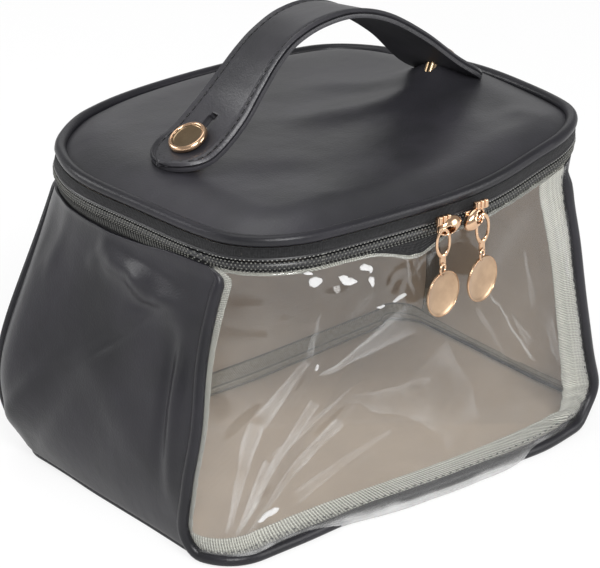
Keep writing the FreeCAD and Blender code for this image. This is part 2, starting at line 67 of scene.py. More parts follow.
class Reading:    # a socket that can be used in sums
    def __init__(self, nodes, socket):
        self.nodes = nodes
        self.socket = socket

    __add__ = __radd__ = sumOf("ADD")
    __mul__ = __rmul__ = sumOf("MULTIPLY")
    __sub__, __rsub__ = sumOf("SUBTRACT"), sumOf("SUBTRACT", True)
    __truediv__, __rtruediv__ = sumOf("DIVIDE"), sumOf("DIVIDE", True)
    __pow__ = sumOf("POWER")
    size = sumOf("ABSOLUTE")
    atMost = sumOf("MINIMUM")
    atLeast = sumOf("MAXIMUM")

    def waves(self, pitch):    # a sine wave along it, pitch in metres
        return self.nodes.sums("SINE", self * (fullTurn / pitch))

    def between(self, low, high, first=0.0, last=1.0):    # eased from first at low to last at high
        return self.nodes.read("MapRange", {"interpolation_type": "SMOOTHSTEP"},
                               {0: self, 1: low, 2: high, 3: first, 4: last})


class Nodes:    # a node tree, added to by kind
    def __init__(self, tree):
        self.tree = tree

    def add(self, kind, settings=None, values=None):
        made = self.tree.nodes.new("ShaderNode" + kind)
        for key, value in (settings or {}).items():
            setattr(made, key, value)
        for key, value in (values or {}).items():
            self.feed(made.inputs[key], value)
        return made

    def feed(self, socket, value):
        if isinstance(value, Reading):
            self.tree.links.new(value.socket, socket)
        else:
            socket.default_value = value

    def read(self, kind, settings=None, values=None, output=0):
        return Reading(self, self.add(kind, settings, values).outputs[output])

    def sums(self, operation, *values):
        return self.read("Math", {"operation": operation}, dict(enumerate(values)))

    def place(self, kind="Object"):
        return self.read("TexCoord", output=kind)

    def split(self, spot):
        made = self.add("SeparateXYZ", None, {0: spot})
        return [Reading(self, made.outputs[axis]) for axis in range(3)]

    def grain(self, spot, scale, detail=2.0, rough=0.5):
        return self.read("TexNoise", None, {"Vector": spot, "Scale": scale, "Detail": detail,
                                            "Roughness": rough})

    def colours(self, amount, first, second):
        return self.read("Mix", {"data_type": "RGBA"}, {0: amount, 6: first, 7: second}, 2)

    def blend(self, amount, first, second):    # two shaders
        return self.read("MixShader", None, {0: amount, 1: first, 2: second})

    def raised(self, height, distance, strength=1.0, **more):
        return self.read("Bump", None, {"Height": height, "Distance": distance, "Strength": strength, **more})


class Finish(Nodes):
    labels = {"colour": "Base Color", "roughness": "Roughness", "metal": "Metallic", "normal": "Normal",
              "sheen": "Sheen Weight", "specular": "Specular IOR Level"}

    def __init__(self, name, slot):
        self.material = bpy.data.materials.new(name)
        self.material.use_nodes = True
        self.slot = slot
        super().__init__(self.material.node_tree)
        self.surface = self.tree.nodes["Principled BSDF"]

    def paint(self, **values):
        for key, value in values.items():
            self.feed(self.surface.inputs[self.labels[key]], value)
        return self

    def show(self, shader):
        self.feed(self.tree.nodes["Material Output"].inputs["Surface"], shader)
        return self


def rgb(red, green, blue):    # a screen colour, 0 to 255, as the shader wants it
    return tuple(((part / 255 + 0.055) / 1.055) ** 2.4 if part > 10 else part / 255 / 12.92
                 for part in (red, green, blue)) + (1.0,)


def makeLeather(name, base, tint, shine, roughness=0.27):
    leather = Finish(name, "black_leather")
    spot = leather.place()
    cloud = leather.grain(spot, 22, 3, 0.6)
    pebble = leather.read("TexVoronoi", {"feature": "SMOOTH_F1"},
                          {"Vector": spot, "Scale": 1250, "Smoothness": 0.7})
    fine = leather.grain(spot, 2600, 2, 0.6)
    bumps = leather.raised(pebble * 0.8 + fine * 0.5, 0.00012, 0.5)
    return leather.paint(colour=leather.colours(cloud.between(0.35, 0.7), base, tint), specular=shine,
                         roughness=roughness + cloud * 0.12 + fine * 0.06,
                         normal=leather.raised(leather.grain(spot, 60), 0.0011, 0.35, Normal=bumps))


weaves = {    # thread pitches in metres, across and along
    "lining": (0.00055, 0.0006), "seamTape": 0.0009, "ribbon": (0.0011, 0.00125), "zipTape": (0.0011, 0.0007)}


def makeLining():
    lining = Finish("taupeCloth", "taupe_lining")
    across, up, _ = lining.split(lining.place("UV"))
    warp, weft = weaves["lining"]
    weave = across.waves(warp) * up.waves(weft)
    mottled = lining.grain(lining.place(), 35, 4, 0.65)
    threads = lining.grain(lining.place(), 900, 2, 0.6)
    colour = lining.colours(mottled.between(0.3, 0.75), rgb(181, 165, 148), rgb(191, 175, 157))
    colour = lining.colours(weave.between(-1, 1, 0, 0.18), colour, rgb(140, 127, 114))
    return lining.paint(colour=colour, roughness=0.62 + threads * 0.2, specular=0.3, sheen=0.15,
                        normal=lining.raised(weave * 0.5 + threads, 0.00009, 0.7))


def makeTapeCloth():
    tape = Finish("seamTape", "taupe_lining")
    across, up, _ = tape.split(tape.place("UV"))
    threads = tape.grain(tape.place(), 700, 2, 0.6)
    colour = tape.colours(threads.between(0.3, 0.7), rgb(132, 126, 112), rgb(150, 144, 130))
    away = (up * 1000 - 7).size()    # mm from the fold along the tape's middle
    # painted shade: darker along the fold down the tape's middle and along both its edges
    seam = away.between(0.2, 0.9, 0.75, 0) + away.between(5.6, 6.6, 0, 0.7)
    colour = tape.colours(seam.atMost(0.8), colour, rgb(66, 62, 54))
    return tape.paint(colour=colour, roughness=0.7, specular=0.3,
                      normal=tape.raised(across.waves(weaves["seamTape"]) + threads, 0.00012, 0.8))


def makeRibbon():
    ribbon = Finish("sageRibbon", "sage_ribbon")
    along, across, _ = ribbon.split(ribbon.place("UV"))
    threads = ribbon.grain(ribbon.place(), 1500, 2, 0.6)
    cloud = ribbon.grain(ribbon.place(), 60)
    picks, ribs = weaves["ribbon"]
    weave = (along + across * 0.25).waves(ribs) + across.waves(picks) * 0.35
    colour = ribbon.colours(weave.between(-1, 0.7), rgb(122, 121, 112), rgb(198, 198, 188))
    colour = ribbon.colours(cloud.between(0.35, 0.8, 0, 0.3), colour, rgb(188, 187, 178))
    return ribbon.paint(colour=colour, roughness=0.6 + threads * 0.15, specular=0.35, sheen=0.2,
                        normal=ribbon.raised(weave + threads * 0.6, 0.00026, 0.9))


def makeZipTape():
    tape = Finish("zipTape", "zip_tape")
    along, across, _ = tape.split(tape.place("UV"))
    threads = tape.grain(tape.place(), 1300, 2, 0.6)
    wales, courses = weaves["zipTape"]
    weave = across.waves(wales) * 0.6 + along.waves(courses) * 0.5 + threads
    colour = tape.colours(threads.between(0.3, 0.75), rgb(17, 17, 18), rgb(33, 33, 35))
    return tape.paint(colour=colour, roughness=0.8, specular=0.2, sheen=0.08,
                      normal=tape.raised(weave, 0.00016, 0.8))


def makeCoil():
    coil = Finish("zipCoil", "zip_coil")
    shine = coil.grain(coil.place(), 400)
    return coil.paint(colour=rgb(26, 26, 28), roughness=0.3 + shine * 0.15, specular=0.5,
                      normal=coil.raised(shine, 0.0001, 0.4))


def makeThread(name, slot, colour, lighter):
    thread = Finish(name, slot)
    twist = thread.grain(thread.place(), 2500, 2, 0.6)
    return thread.paint(colour=thread.colours(twist.between(0.3, 0.7), colour, lighter), roughness=0.5,
                        normal=thread.raised(twist, 0.0001, 0.6))


def makeGold(name, colour, tint, roughness, brushed=0.0):
    gold = Finish(name, "rose_gold")
    cloud = gold.grain(gold.place(), 140, 3, 0.6)
    scuffs = gold.grain(gold.place(), 1800, 3, 0.7)
    return gold.paint(colour=gold.colours(cloud.between(0.3, 0.7), colour, tint), metal=1.0,
                      roughness=roughness + scuffs * 0.09 + cloud * 0.05,
                      normal=gold.raised(scuffs, 0.00002, 0.25 + brushed))


paintedFoldStreaks = (    # start x, z, end x, z, half-width at each end in mm, strength: painted reflection streaks along the film's creases
    (-56.6, 71, -12, 86, 0.5, 7.5, 0.13), (-56.6, 71, -14, 91, 0.4, 0.7, 0.26),
    (-56.6, 71, -12, 79, 0.3, 0.5, 0.16), (-58.5, 98, -62, 78, 0.5, 1.8, 0.17),
    (-62, 79, -84, 56, 1.8, 3.8, 0.15), (-83, 58, -96, 12, 3.6, 0.6, 0.16),
    (-58, 60, -96, 10, 2.8, 0.6, 0.16), (-42, 62, -78, 40, 0.6, 2.4, 0.12), (-76, 41, -96, 9, 2.8, 0.6, 0.16),
    (-46, 50, -95, 9, 3.8, 0.6, 0.13), (-20, 38, -70, 20, 0.8, 3.4, 0.09), (-88, 40, -97, 12, 0.3, 0.5, 0.3),
    (-70, 44, -96, 11, 0.3, 0.4, 0.3), (-22, 113, -15, 93, 0.6, 0.9, 0.24),
    (-18, 112, -12, 98, 1.6, 0.6, 0.12),
    (25, 84, 56, 42, 0.4, 0.8, 0.2), (18, 80, 40, 46, 1.2, 0.4, 0.08), (38, 72, 52, 52, 0.4, 1.6, 0.09),
    (43, 96, 50, 66, 0.7, 1.6, 0.12), (57, 112, 66, 84, 3.2, 1.2, 0.14), (64, 108, 71, 70, 0.5, 0.8, 0.2),
    (-4, 46, -52, 60, 9, 0.5, 0.07), (-8, 62, 20, 20, 14, 10, 0.06), (60, 60, 72, 30, 2.6, 0.6, 0.09),
    (74, 110, 62, 84, 2.6, 0.8, 0.12), (80, 74, 85, 48, 1.6, 1.2, 0.1),
)
filmGlints = (    # x, z, half-width, half-height, turn: painted highlights on small buckles of the film
    (-61, 112.4, 3.2, 1.9, 0.3), (-48, 110, 4.4, 1.3, -0.7), (-40, 111.6, 3.4, 1.2, -0.9),
    (-22, 94.3, 2.9, 0.8, 0.25), (-29.5, 93.6, 1.6, 0.6, 0), (-58, 75.2, 0.9, 1.9, -0.3),
    (-79, 18.5, 5.6, 1.3, 0.25), (-37, 105, 1.0, 2.6, 0.35), (-64, 115.6, 2.2, 0.7, 0.1),
)
# the pale shader colour of the painted reflections, a painted grey band along the foot for the film's edge-on
# sheen and the shade under it, and the strengths of the painted streaks and highlights
film = {"clear": (0.965, 0.965, 0.96, 1), "paintedReflectionWhite": (0.62, 0.62, 0.62, 1), "roughness": 0.1,
        "paintedLowBand": (1.5, 7, 0.62, 0.02), "mostPaintedReflection": 0.66, "paintedGlintStrength": 0.6, "gloss": (0.035, 0.6)}


def strongest(readings):
    most = readings[0]
    for reading in readings[1:]:
        most = most.atLeast(reading)
    return most


def makeVinyl():
    vinyl = Finish("clearVinyl", "clear_vinyl")
    vinyl.tree.nodes.remove(vinyl.surface)
    wobble = vinyl.grain(vinyl.place(), 55) - 0.5
    fine = vinyl.grain(vinyl.place(), 230) - 0.5
    across, _, up = vinyl.split(vinyl.place())
    across = across * 1000 + wobble * 5
    up = up * 1000 + wobble * 7
    bentX, bentZ = across + fine * 3.4, up + fine * 3.0

    # paints a pale reflection streak along one crease of the film
    def fold(x, z, endX, endZ, first, last, paintedStreak):
        run = math.hypot(endX - x, endZ - z)
        wayX, wayZ = (endX - x) / run, (endZ - z) / run
        along = (across - x) * wayX + (up - z) * wayZ
        off = ((across - x) * -wayZ + (up - z) * wayX).size()
        half = along.between(0, run, first, last)
        inside = (half - off).between(-0.05, 0.3)
        ends = along.between(-1, 2) * (run - along).between(-1, run * 0.25)
        return inside * ends * (off / half).between(0.2, 1.0, 0.55, 1.0) * paintedStreak

    # paints an oval highlight
    def glint(x, z, wide, tall, turn):
        offX, offZ = bentX - x, bentZ - z
        one = offX * (math.cos(turn) / wide) + offZ * (math.sin(turn) / wide)
        two = offZ * (math.cos(turn) / tall) - offX * (math.sin(turn) / tall)
        return (1.0 - one * one - two * two).between(0, 0.25)

    # painted reflections: streaks along the creases, the grey band along the foot and the highlights, mixed
    # in as a pale diffuse layer
    paintedReflections = strongest([fold(*row) for row in paintedFoldStreaks]) * (0.95 + wobble * 2.0)
    paintedReflections = paintedReflections.atLeast(up.between(*film["paintedLowBand"])).atMost(film["mostPaintedReflection"])
    paintedReflections = paintedReflections.atLeast(strongest([glint(*row) for row in filmGlints]) * film["paintedGlintStrength"])
    clear = vinyl.read("BsdfTransparent", None, {0: film["clear"]})
    paintedReflectionWhite = vinyl.read("BsdfDiffuse", None, {"Color": film["paintedReflectionWhite"]})
    ripple = vinyl.raised(vinyl.grain(vinyl.place(), 120), 0.0006, 0.18)
    gloss = vinyl.read("BsdfGlossy", None, {"Color": (1, 1, 1, 1), "Roughness": film["roughness"],
                                            "Normal": ripple})
    edgeOn = vinyl.read("LayerWeight", None, {"Blend": 0.5}, 1)
    least, more = film["gloss"]
    return vinyl.show(vinyl.blend(least + more * edgeOn ** 5, vinyl.blend(paintedReflections, clear, paintedReflectionWhite), gloss))


def makeBoard():
    board = Finish("greyBoard", "grey_board")
    fibre = board.grain(board.place(), 300, 3, 0.7)
    return board.paint(colour=board.colours(fibre, rgb(120, 118, 112), rgb(150, 148, 141)), roughness=0.85)


leather = makeLeather("blackLeather", rgb(25, 25, 28), rgb(33, 32, 37), 0.28)
# the lid's black leather is painted lighter than the walls': painted light on the lid's top
lidLeatherPaintedLight = makeLeather("lidLeatherPaintedLight", rgb(33, 33, 36), rgb(42, 41, 46), 0.45, 0.30)
# the strap's black leather is painted lighter still: painted light on the strap's top
strapLeatherPaintedLight = makeLeather("strapLeatherPaintedLight", rgb(39, 39, 42), rgb(49, 48, 52), 0.36)
lining = makeLining()
seamCloth = makeTapeCloth()
ribbonCloth = makeRibbon()
zipCloth = makeZipTape()
coilNylon = makeCoil()
blackThread = makeThread("blackThread", "black_leather", rgb(9, 9, 10), rgb(22, 22, 24))
# the zip's stitches and coil loops are black; these pale and grey colours are painted highlights on them
paleThreadPaintedHighlight = makeThread("coilStitchPaintedHighlights", "zip_coil", rgb(126, 126, 122), rgb(160, 160, 156))
strokeThread = makeThread("tapeLoops", "zip_coil", rgb(38, 38, 37), rgb(56, 56, 53))
greyThreadPaintedHighlight = makeThread("coilLoopPaintedHighlights", "zip_coil", rgb(66, 66, 63), rgb(104, 104, 98))
polishedGold = makeGold("polishedRoseGold", rgb(200, 165, 134), rgb(214, 179, 148), 0.1)
satinGold = makeGold("satinRoseGold", rgb(174, 147, 121), rgb(188, 160, 132), 0.24, 0.2)
capGold = makeGold("capGold", rgb(128, 108, 84), rgb(146, 126, 100), 0.12)
vinyl = makeVinyl()
board = makeBoard()
print("finishes made")


# Meshes

def meshOf(name, bm):
    mesh = bpy.data.meshes.new(name)
    bm.to_mesh(mesh)
    bm.free()
    return mesh


def makeObject(name, data):
    made = bpy.data.objects.new(name, data)
    bpy.context.scene.collection.objects.link(made)
    return made


def makePiece(name, bm, finish, body, nodes=(), thickness=0.0, edge=0.0, edgeAngle=0.0, offset=-1):
    bmesh.ops.scale(bm, vec=(toMetres,) * 3, verts=bm.verts)
    mesh = meshOf(name, bm)
    mesh.shade_smooth()
    mesh.materials.append(finish.material)
    piece = makeObject(name, mesh)
    if body:
        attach(piece, body)
    if nodes:
        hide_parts(*nodes)
    if thickness:
        solid = piece.modifiers.new("thickness", "SOLIDIFY")
        solid.thickness = thickness * toMetres
        solid.offset = offset
    if edge:
        bevel = piece.modifiers.new("edges", "BEVEL")
        bevel.width = edge * toMetres
        bevel.segments = 2
        bevel.limit_method = "ANGLE"
        if edgeAngle:
            bevel.angle_limit = edgeAngle
    return piece


def makeGrid(columns, rows, place, width, height):    # a sheet laid by place(s, t), its UV in metres
    bm = bmesh.new()
    charts = bm.loops.layers.uv.new("UVMap")
    bmesh.ops.create_grid(bm, x_segments=columns, y_segments=rows, size=0.5, calc_uvs=True)
    for face in bm.faces:
        for corner in face.loops:
            s, t = corner[charts].uv
            corner[charts].uv = (s * width * toMetres, t * height * toMetres)
    for vert in bm.verts:
        vert.co = place(vert.co.x + 0.5, vert.co.y + 0.5)
    bmesh.ops.remove_doubles(bm, verts=bm.verts, dist=0.002)
    return bm


def makeTube(path, radius, around, closed=False, ends=1.0):    # the section is carried along without twist
    count = len(path)
    frames, side = [], None
    for index, spot in enumerate(path):
        before = path[(index - 1) % count] if closed or index else spot
        after = path[(index + 1) % count] if closed or index < count - 1 else spot
        way = (after - before).normalized()
        side = (side or way.orthogonal()) if side or abs(way.z) > 0.9 else way.cross(Vector((0, 0, 1)))
        side = (side - way * side.dot(way)).normalized()
        frames.append((spot, side, side.cross(way).normalized()))

    def place(s, t):
        index = int(round(s * (count if closed else count - 1))) % count
        spot, side, lift = frames[index]
        turn = t * fullTurn
        wide = radius * (1 if closed else ends + (1 - ends) * eased(min(index, count - 1 - index), 0, 5))
        return spot + side * (math.cos(turn) * wide) + lift * (math.sin(turn) * wide)

    length = sum((b - a).length for a, b in zip(path, path[1:]))
    bm = makeGrid(count if closed else count - 1, around, place, length, radius * 6.3)
    if not closed:
        bmesh.ops.holes_fill(bm, edges=[edge for edge in bm.edges if edge.is_boundary])
    bmesh.ops.recalc_face_normals(bm, faces=bm.faces)
    return bm


def smallShape(create, **settings):
    bm = bmesh.new()
    create(bm, **settings)
    return meshOf("small", bm)


def repeat(shape, places):    # copies of one small mesh, each put in place by a matrix
    bm = bmesh.new()
    for put in places:
        copy = shape.copy()
        copy.transform(put)
        bm.from_mesh(copy)
        bpy.data.meshes.remove(copy)
    return bm


def facing(spot, way, out):    # a place whose X runs along way and whose Z points out
    x = way.normalized()
    z = (out - x * out.dot(x)).normalized()
    y = z.cross(x)
    return Matrix.Translation(spot) @ Matrix((x, y, z)).transposed().to_4x4()


def eased(value, low, high):
    share = min(max((value - low) / (high - low), 0), 1)
    return share * share * (3 - 2 * share)


def smoothLine(points, count):    # an even smooth line through a few points
    line = []
    rows = [points[0] * 2 - points[1], *points, points[-1] * 2 - points[-2]]
    for a, b, c, d in zip(rows, rows[1:], rows[2:], rows[3:]):
        for step in range(24):
            t = step / 24
            line.append(0.5 * (2 * b + (c - a) * t + (2 * a - 5 * b + 4 * c - d) * t * t
                               + (3 * b - a - 3 * c + d) * t ** 3))
    line.append(points[-1].copy())
    return evenLine(line, count)


def evenLine(line, count):
    reach = [0.0]
    for a, b in zip(line, line[1:]):
        reach.append(reach[-1] + (b - a).length)
    out, index = [], 0
    for step in range(count + 1):
        goal = reach[-1] * step / count
        while index < len(line) - 2 and reach[index + 1] < goal:
            index += 1
        share = (goal - reach[index]) / max(reach[index + 1] - reach[index], 1e-9)
        out.append(line[index].lerp(line[index + 1], min(share, 1)))
    return out


# The bag's outline: four bowed sides and four round corners, changing with height

leftSeam, backRightSeam, backLeftSeam = 7, 3, 5.45    # places round the ring below
rightSeam = 1.34    # the soft window is pulled round, so its right seam shows from the front
wall = {
    "levels": (    # height, length, depth, corner radius, radius of the front's bow and of the sides'
        (0, 200, 138, 20, 1500, 1500), (38, 211, 148, 24, 800, 700),
        (80, 196, 157, 30, 450, 400), (112, 180, 166, 36, 330, 290)),
    "top": 112,
    "edge": {"back": 113.5, "frontRise": 5.0, "dip": 6.0},    # the zip tape's lower edge
    "thickness": 1.2,
    "footRound": 4.0,
    "cutHeight": 115,
    "arcLengths": (140, 34, 95, 34, 140, 34, 95, 34),
    "tugs": (    # centre, reach, pull: the soft bag leans away from the pattern here
        ((-100, 64, 38), (60, 50, 40), (-11, 2, 0)),
        ((95, 0, 124), (50, 60, 40), (3.3, 0, 4.4)),
        ((98, -46, 131), (30, 28, 12), (4.5, 0, 0)),
        ((76, 50, 132), (36, 36, 16), (-2.2, 0, -2.2)),
        ((-88, -45, 124), (45, 42, 24), (-1.8, -0.8, -2.4)),
        ((-94, 20, 130), (30, 34, 16), (-4.8, 0, 0)),
        ((92, 70, 124), (45, 45, 35), (-1.8, -0.4, 0.4)),
        ((84, -68, 122), (32, 32, 30), (0, 1.5, 3.5)),
        ((-92, -10, 122), (40, 60, 30), (-2, 1, 0)),
        ((55, -78, 122), (30, 25, 30), (0, 3, 2.5)),
        ((98, -62, 3), (22, 26, 14), (-2.5, 1, 3.5)),
        ((98, -55, 15), (25, 35, 13), (4, 0, 0)),
        ((88, -66, 66), (26, 28, 42), (-6.5, -0.6, 0)),
        ((88, -70, 60), (12, 12, 60), (-1, -2.5, 0)),
        ((100, -6, 98), (30, 40, 20), (-1.6, 0, 0)),
        ((22, -80, 2), (60, 30, 14), (0, -3.6, 0)),
        ((92, -64, 106), (18, 20, 12), (-3.2, 0, 0)),
        ((-92, 30, 122), (30, 30, 22), (-3.5, 0, 0)),
        ((-95, -64, 4), (30, 30, 25), (-1.5, -4, 0)),
        ((-98, 45, 2), (25, 30, 12), (1, 0, 1.5)),
        ((-72, 68, 130), (24, 26, 30), (2, -2.5, -1.0)),
        ((-98, 50, 85), (30, 40, 30), (-1.5, 0.5, 0)),
        ((100, -60, 30), (40, 40, 40), (-1.7, 2.3, 0)),
    ),
}
shapes = {}


def shapeAt(height):    # the radii, centres and turns of the arcs at a height
    key = round(min(max(height, 0), wall["top"]), 2)
    if key in shapes:
        return shapes[key]
    mixed = []
    for column in range(1, 6):
        bow = column > 3    # a bow is mixed as its curvature
        total = 0.0
        for row in wall["levels"]:
            share = 1.0
            for other in wall["levels"]:
                if other is not row:
                    share *= (key - other[0]) / (row[0] - other[0])
            total += share * (1 / row[column] if bow else row[column])
        mixed.append(1 / total if bow else total)
    length, depth, corner, front, side = mixed
    a, b = front - depth / 2, side - length / 2
    reach = math.hypot(a, b)
    ex, ey = -b / reach, -a / reach
    r1, r2 = front - corner, side - corner
    along = (reach * reach + r1 * r1 - r2 * r2) / (2 * reach)
    off = math.sqrt(r1 * r1 - along * along)
    x, y = ex * along - ey * off, a + ey * along + ex * off
    if x < 0 or y > 0:
        x, y = ex * along + ey * off, a + ey * along - ex * off
    shapes[key] = (a, b, x, y, corner, front, side, math.atan2(x, a - y), math.atan2(x + b, -y))
    return shapes[key]


def seamDrift(height):
    drift = 0.1 * eased(height, 8, 30) + 0.13 * math.exp(-((height - 52) / 24) ** 2)
    return drift * (1 - eased(height, 114, 119))


def ring(u, height, inset=0.0):    # u 0-1 front, 1-2 corner, 2-3 right, 4-5 back, 6-7 left
    a, b, x, y, corner, front, side, tf, ts = shapeAt(height)
    beside = (u + 5) % 8 - 4    # distance from the front-left seam, which wanders with height
    u = (u + seamDrift(height) * math.exp(-(beside / 0.8) ** 2)) % 8
    part, share = int(u), u - int(u)
    half = math.pi
    spans = ((-tf, tf), (tf, ts), (ts, half - ts), (half - ts, half - tf), (half - tf, half + tf),
             (half + tf, half + ts), (half + ts, 2 * half - ts), (2 * half - ts, 2 * half - tf))
    centres = ((0, a, front), (x, y, corner), (-b, 0, side), (x, -y, corner), (0, -a, front),
               (-x, -y, corner), (b, 0, side), (-x, y, corner))
    low, high = spans[part]
    turn = low + (high - low) * share
    cx, cy, radius = centres[part]
    out = Vector((math.sin(turn), -math.cos(turn), 0))
    return Vector((cx, cy, height)) + out * (radius - inset), out


def soft(spot):    # the leaning bag's own place for a spot on the even pattern
    moved = spot.copy()
    for centre, reach, pull in wall["tugs"]:
        away = sum(((spot[k] - centre[k]) / reach[k]) ** 2 for k in range(3))
        if away < 9:
            moved += Vector(pull) * math.exp(-away)
    return moved


def spread(low, high):    # from a share of the way round to u, at an even pace
    ends = [low, *range(math.floor(low) + 1, math.ceil(high)), high]
    marks = [0.0]
    for a, b in zip(ends, ends[1:]):
        marks.append(marks[-1] + (b - a) * wall["arcLengths"][int(a // 1) % 8])

    def at(share):
        goal = share * marks[-1]
        for k in range(len(ends) - 1):
            if goal <= marks[k + 1] or k == len(ends) - 2:
                return ends[k] + (ends[k + 1] - ends[k]) * (goal - marks[k]) / (marks[k + 1] - marks[k])
    return at


def footTuck(height):    # how far the rounded foot draws in
    radius = wall["footRound"]
    return radius - math.sqrt(max(radius ** 2 - (radius - height) ** 2, 0)) if height < radius else 0.0


def fromFront(u):    # u counted from -1, at the front's left seam
    return (u + 1) % 8 - 1


def frontRise(u):    # 1 where the front's lower edge stands clear of the foot
    turn = fromFront(u)
    return eased(turn, -0.75, 0.45) * (1 - eased(turn, 1.05, 1.32))


def bellyOut(u):    # 1 where the film bellies out below the edge; it ends well before the right corner
    turn = fromFront(u)
    return eased(turn, 0.1, 0.36) * (1 - eased(turn, 0.66, 0.92))


def topEdge(u):    # where the walls meet the zip tape, with the dip under the left slider
    turn = fromFront(u)
    front = 1 - eased(turn, 2.2, 3.0)
    if turn > 5:
        front = eased(turn, 6.35, 6.9)
    edge = wall["edge"]
    return edge["back"] + edge["frontRise"] * front - edge["dip"] * math.exp(-((turn - 0.35) / 0.11) ** 2)


def creaseLift(spot, creases):    # each: start, end, half-width, height; both ends fade out
    lift = 0.0
    for start, end, width, height in creases:
        a, b = Vector(start), Vector(end)
        run = b - a
        share = (spot - a).dot(run) / run.length_squared
        if -0.15 < share < 1.15:
            away = (spot - a - run * share).length / width
            if away < 3.2:
                fade = eased(share, -0.15, 0.3) * (1 - eased(share, 0.7, 1.15))
                lift += height * fade * math.exp(-away * away)
    return lift


def wave(x, y, z):    # even noise, the same at every run
    return noise.noise(Vector((x, y, z)))


def unevenness(spot, size, amount):
    return amount * wave(spot.x / size, spot.y / size, spot.z / size)


def near(spot, x, z, wide, tall):    # 1 at x, z and fading round it
    return math.exp(-((spot.x - x) / wide) ** 2 - ((spot.z - z) / tall) ** 2)


def fadeAbove(height, start, reach):    # 1 up to start and fading above it
    return math.exp(-(max(height - start, 0) / reach) ** 2)


cloth = {"thickness": 0.8, "gap": 0.15, "foot": 4.0, "sag": 17.0, "sagHeight": 48, "rimIn": 1.1}


def liningSag(u, height):    # the loose lining comes forward along the floor at the back left
    turn = u % 8
    share = eased(turn, 3.6, 4.6) * (1 - eased(turn, 5.6, 6.5))
    sag = cloth["sag"] * share * max(1 - height / cloth["sagHeight"], 0) ** 2
    return sag + cloth["rimIn"] * eased(height, 103, 109)


def wallSheet(low, high, columns, rows, inset, creases, bottom=1.2, top=topEdge, uneven=0.7, size=26,
              crumple=None, sag=None, under=None):
    at = spread(low, high)
    length = sum(wall["arcLengths"][int(k) % 8] for k in range(math.floor(low), math.ceil(high)))
    fold = 0.05    # the share of the rows that turns in under the foot

    def place(s, t):
        u = at(s)
        tuck = sag(u, bottom + 110 * t) if sag else 0
        if under:
            tuck += under(u) * max(1 - t / fold, 0)
            t = max(t - fold, 0) / (1 - fold)
        height = bottom + (top(u) - bottom) * t
        spot, out = ring(u, height, inset + footTuck(height) + tuck)
        calm = 1.0 if under else eased(t, 0, 0.12)    # no unevenness along the edges
        calm = calm * (1 - eased(t, 0.9, 1)) * eased(s, 0, 0.06) * (1 - eased(s, 0.94, 1))
        lift = creaseLift(spot, creases) + unevenness(spot, size, uneven) * calm
        if crumple:
            lift += crumple(spot) * calm
        return soft(spot + out * lift)
    return makeGrid(columns, rows, place, length, wall["cutHeight"])


# Leather walls

leftCreases = (    # puckers under the zip and the long soft folds of the left end
    ((-94, -20, 101), (-94, 10, 104), 6.5, 3.2), ((-96, -46, 95), (-97, -10, 102), 8.0, 3.9),
    ((-95, -40, 97), (-96, -10, 89), 2.6, -1.5), ((-94, -44, 105), (-95, -24, 97), 2.4, 1.6),
    ((-94, -40, 104), (-97, -14, 84), 1.8, -1.0), ((-97, -20, 88), (-102, 30, 42), 3.0, -1.1),
    ((-93, -34, 108), (-93, -6, 108), 3.2, -1.6), ((-93, 4, 112), (-96, 18, 96), 3.4, 1.6),
    ((-101, 24, 58), (-106, 70, 0), 4.0, 1.6), ((-101, 12, 54), (-105, 54, 2), 6.0, -1.6),
    ((-92, 34, 117), (-97, 44, 84), 4.2, 1.5), ((-92, 46, 117), (-97, 54, 84), 4.0, -1.8),
    ((-97, -42, 96), (-103, -43, 24), 3.6, 2.0), ((-98, -36, 90), (-103, -37, 34), 3.2, -1.8),
    ((-99, 10, 66), (-101, -30, 30), 9.0, 1.4),
)
backCreases = (
    ((-60, 84, 100), (-30, 82, 70), 7, 1.2), ((40, 84, 104), (66, 80, 60), 8, 1.2),
    ((-10, 82, 108), (6, 80, 60), 9, 0.8), ((-90, 66, 100), (-96, 66, 30), 8, 1.4),
)
rightCreases = (
    ((93, -30, 110), (98, -10, 80), 6, 1.2), ((99, 20, 90), (104, 30, 30), 7, -1.0),
    ((101, -10, 60), (104, -30, 12), 7, 1.0),
)
wallParts = (    # side, from seam to seam, columns of leather and of lining, creases, CAD nodes
    ("left", backLeftSeam, leftSeam, 120, 50, leftCreases, "left_side_panel", "left_side_lining"),
    ("right", rightSeam, backRightSeam, 96, 50, rightCreases, "right_side_panel", "right_side_lining"),
    ("back", backRightSeam, backLeftSeam, 140, 84, backCreases, "back_panel", "back_lining"),
)
thick = wall["thickness"]
for side, start, end, columns, _, creases, node, _ in wallParts:
    makePiece(side + "Wall", wallSheet(start, end, columns, 92, 0, creases), leather, "bag_body", [node],
              thick, edge=0.3)
print("walls made")


# Clear window

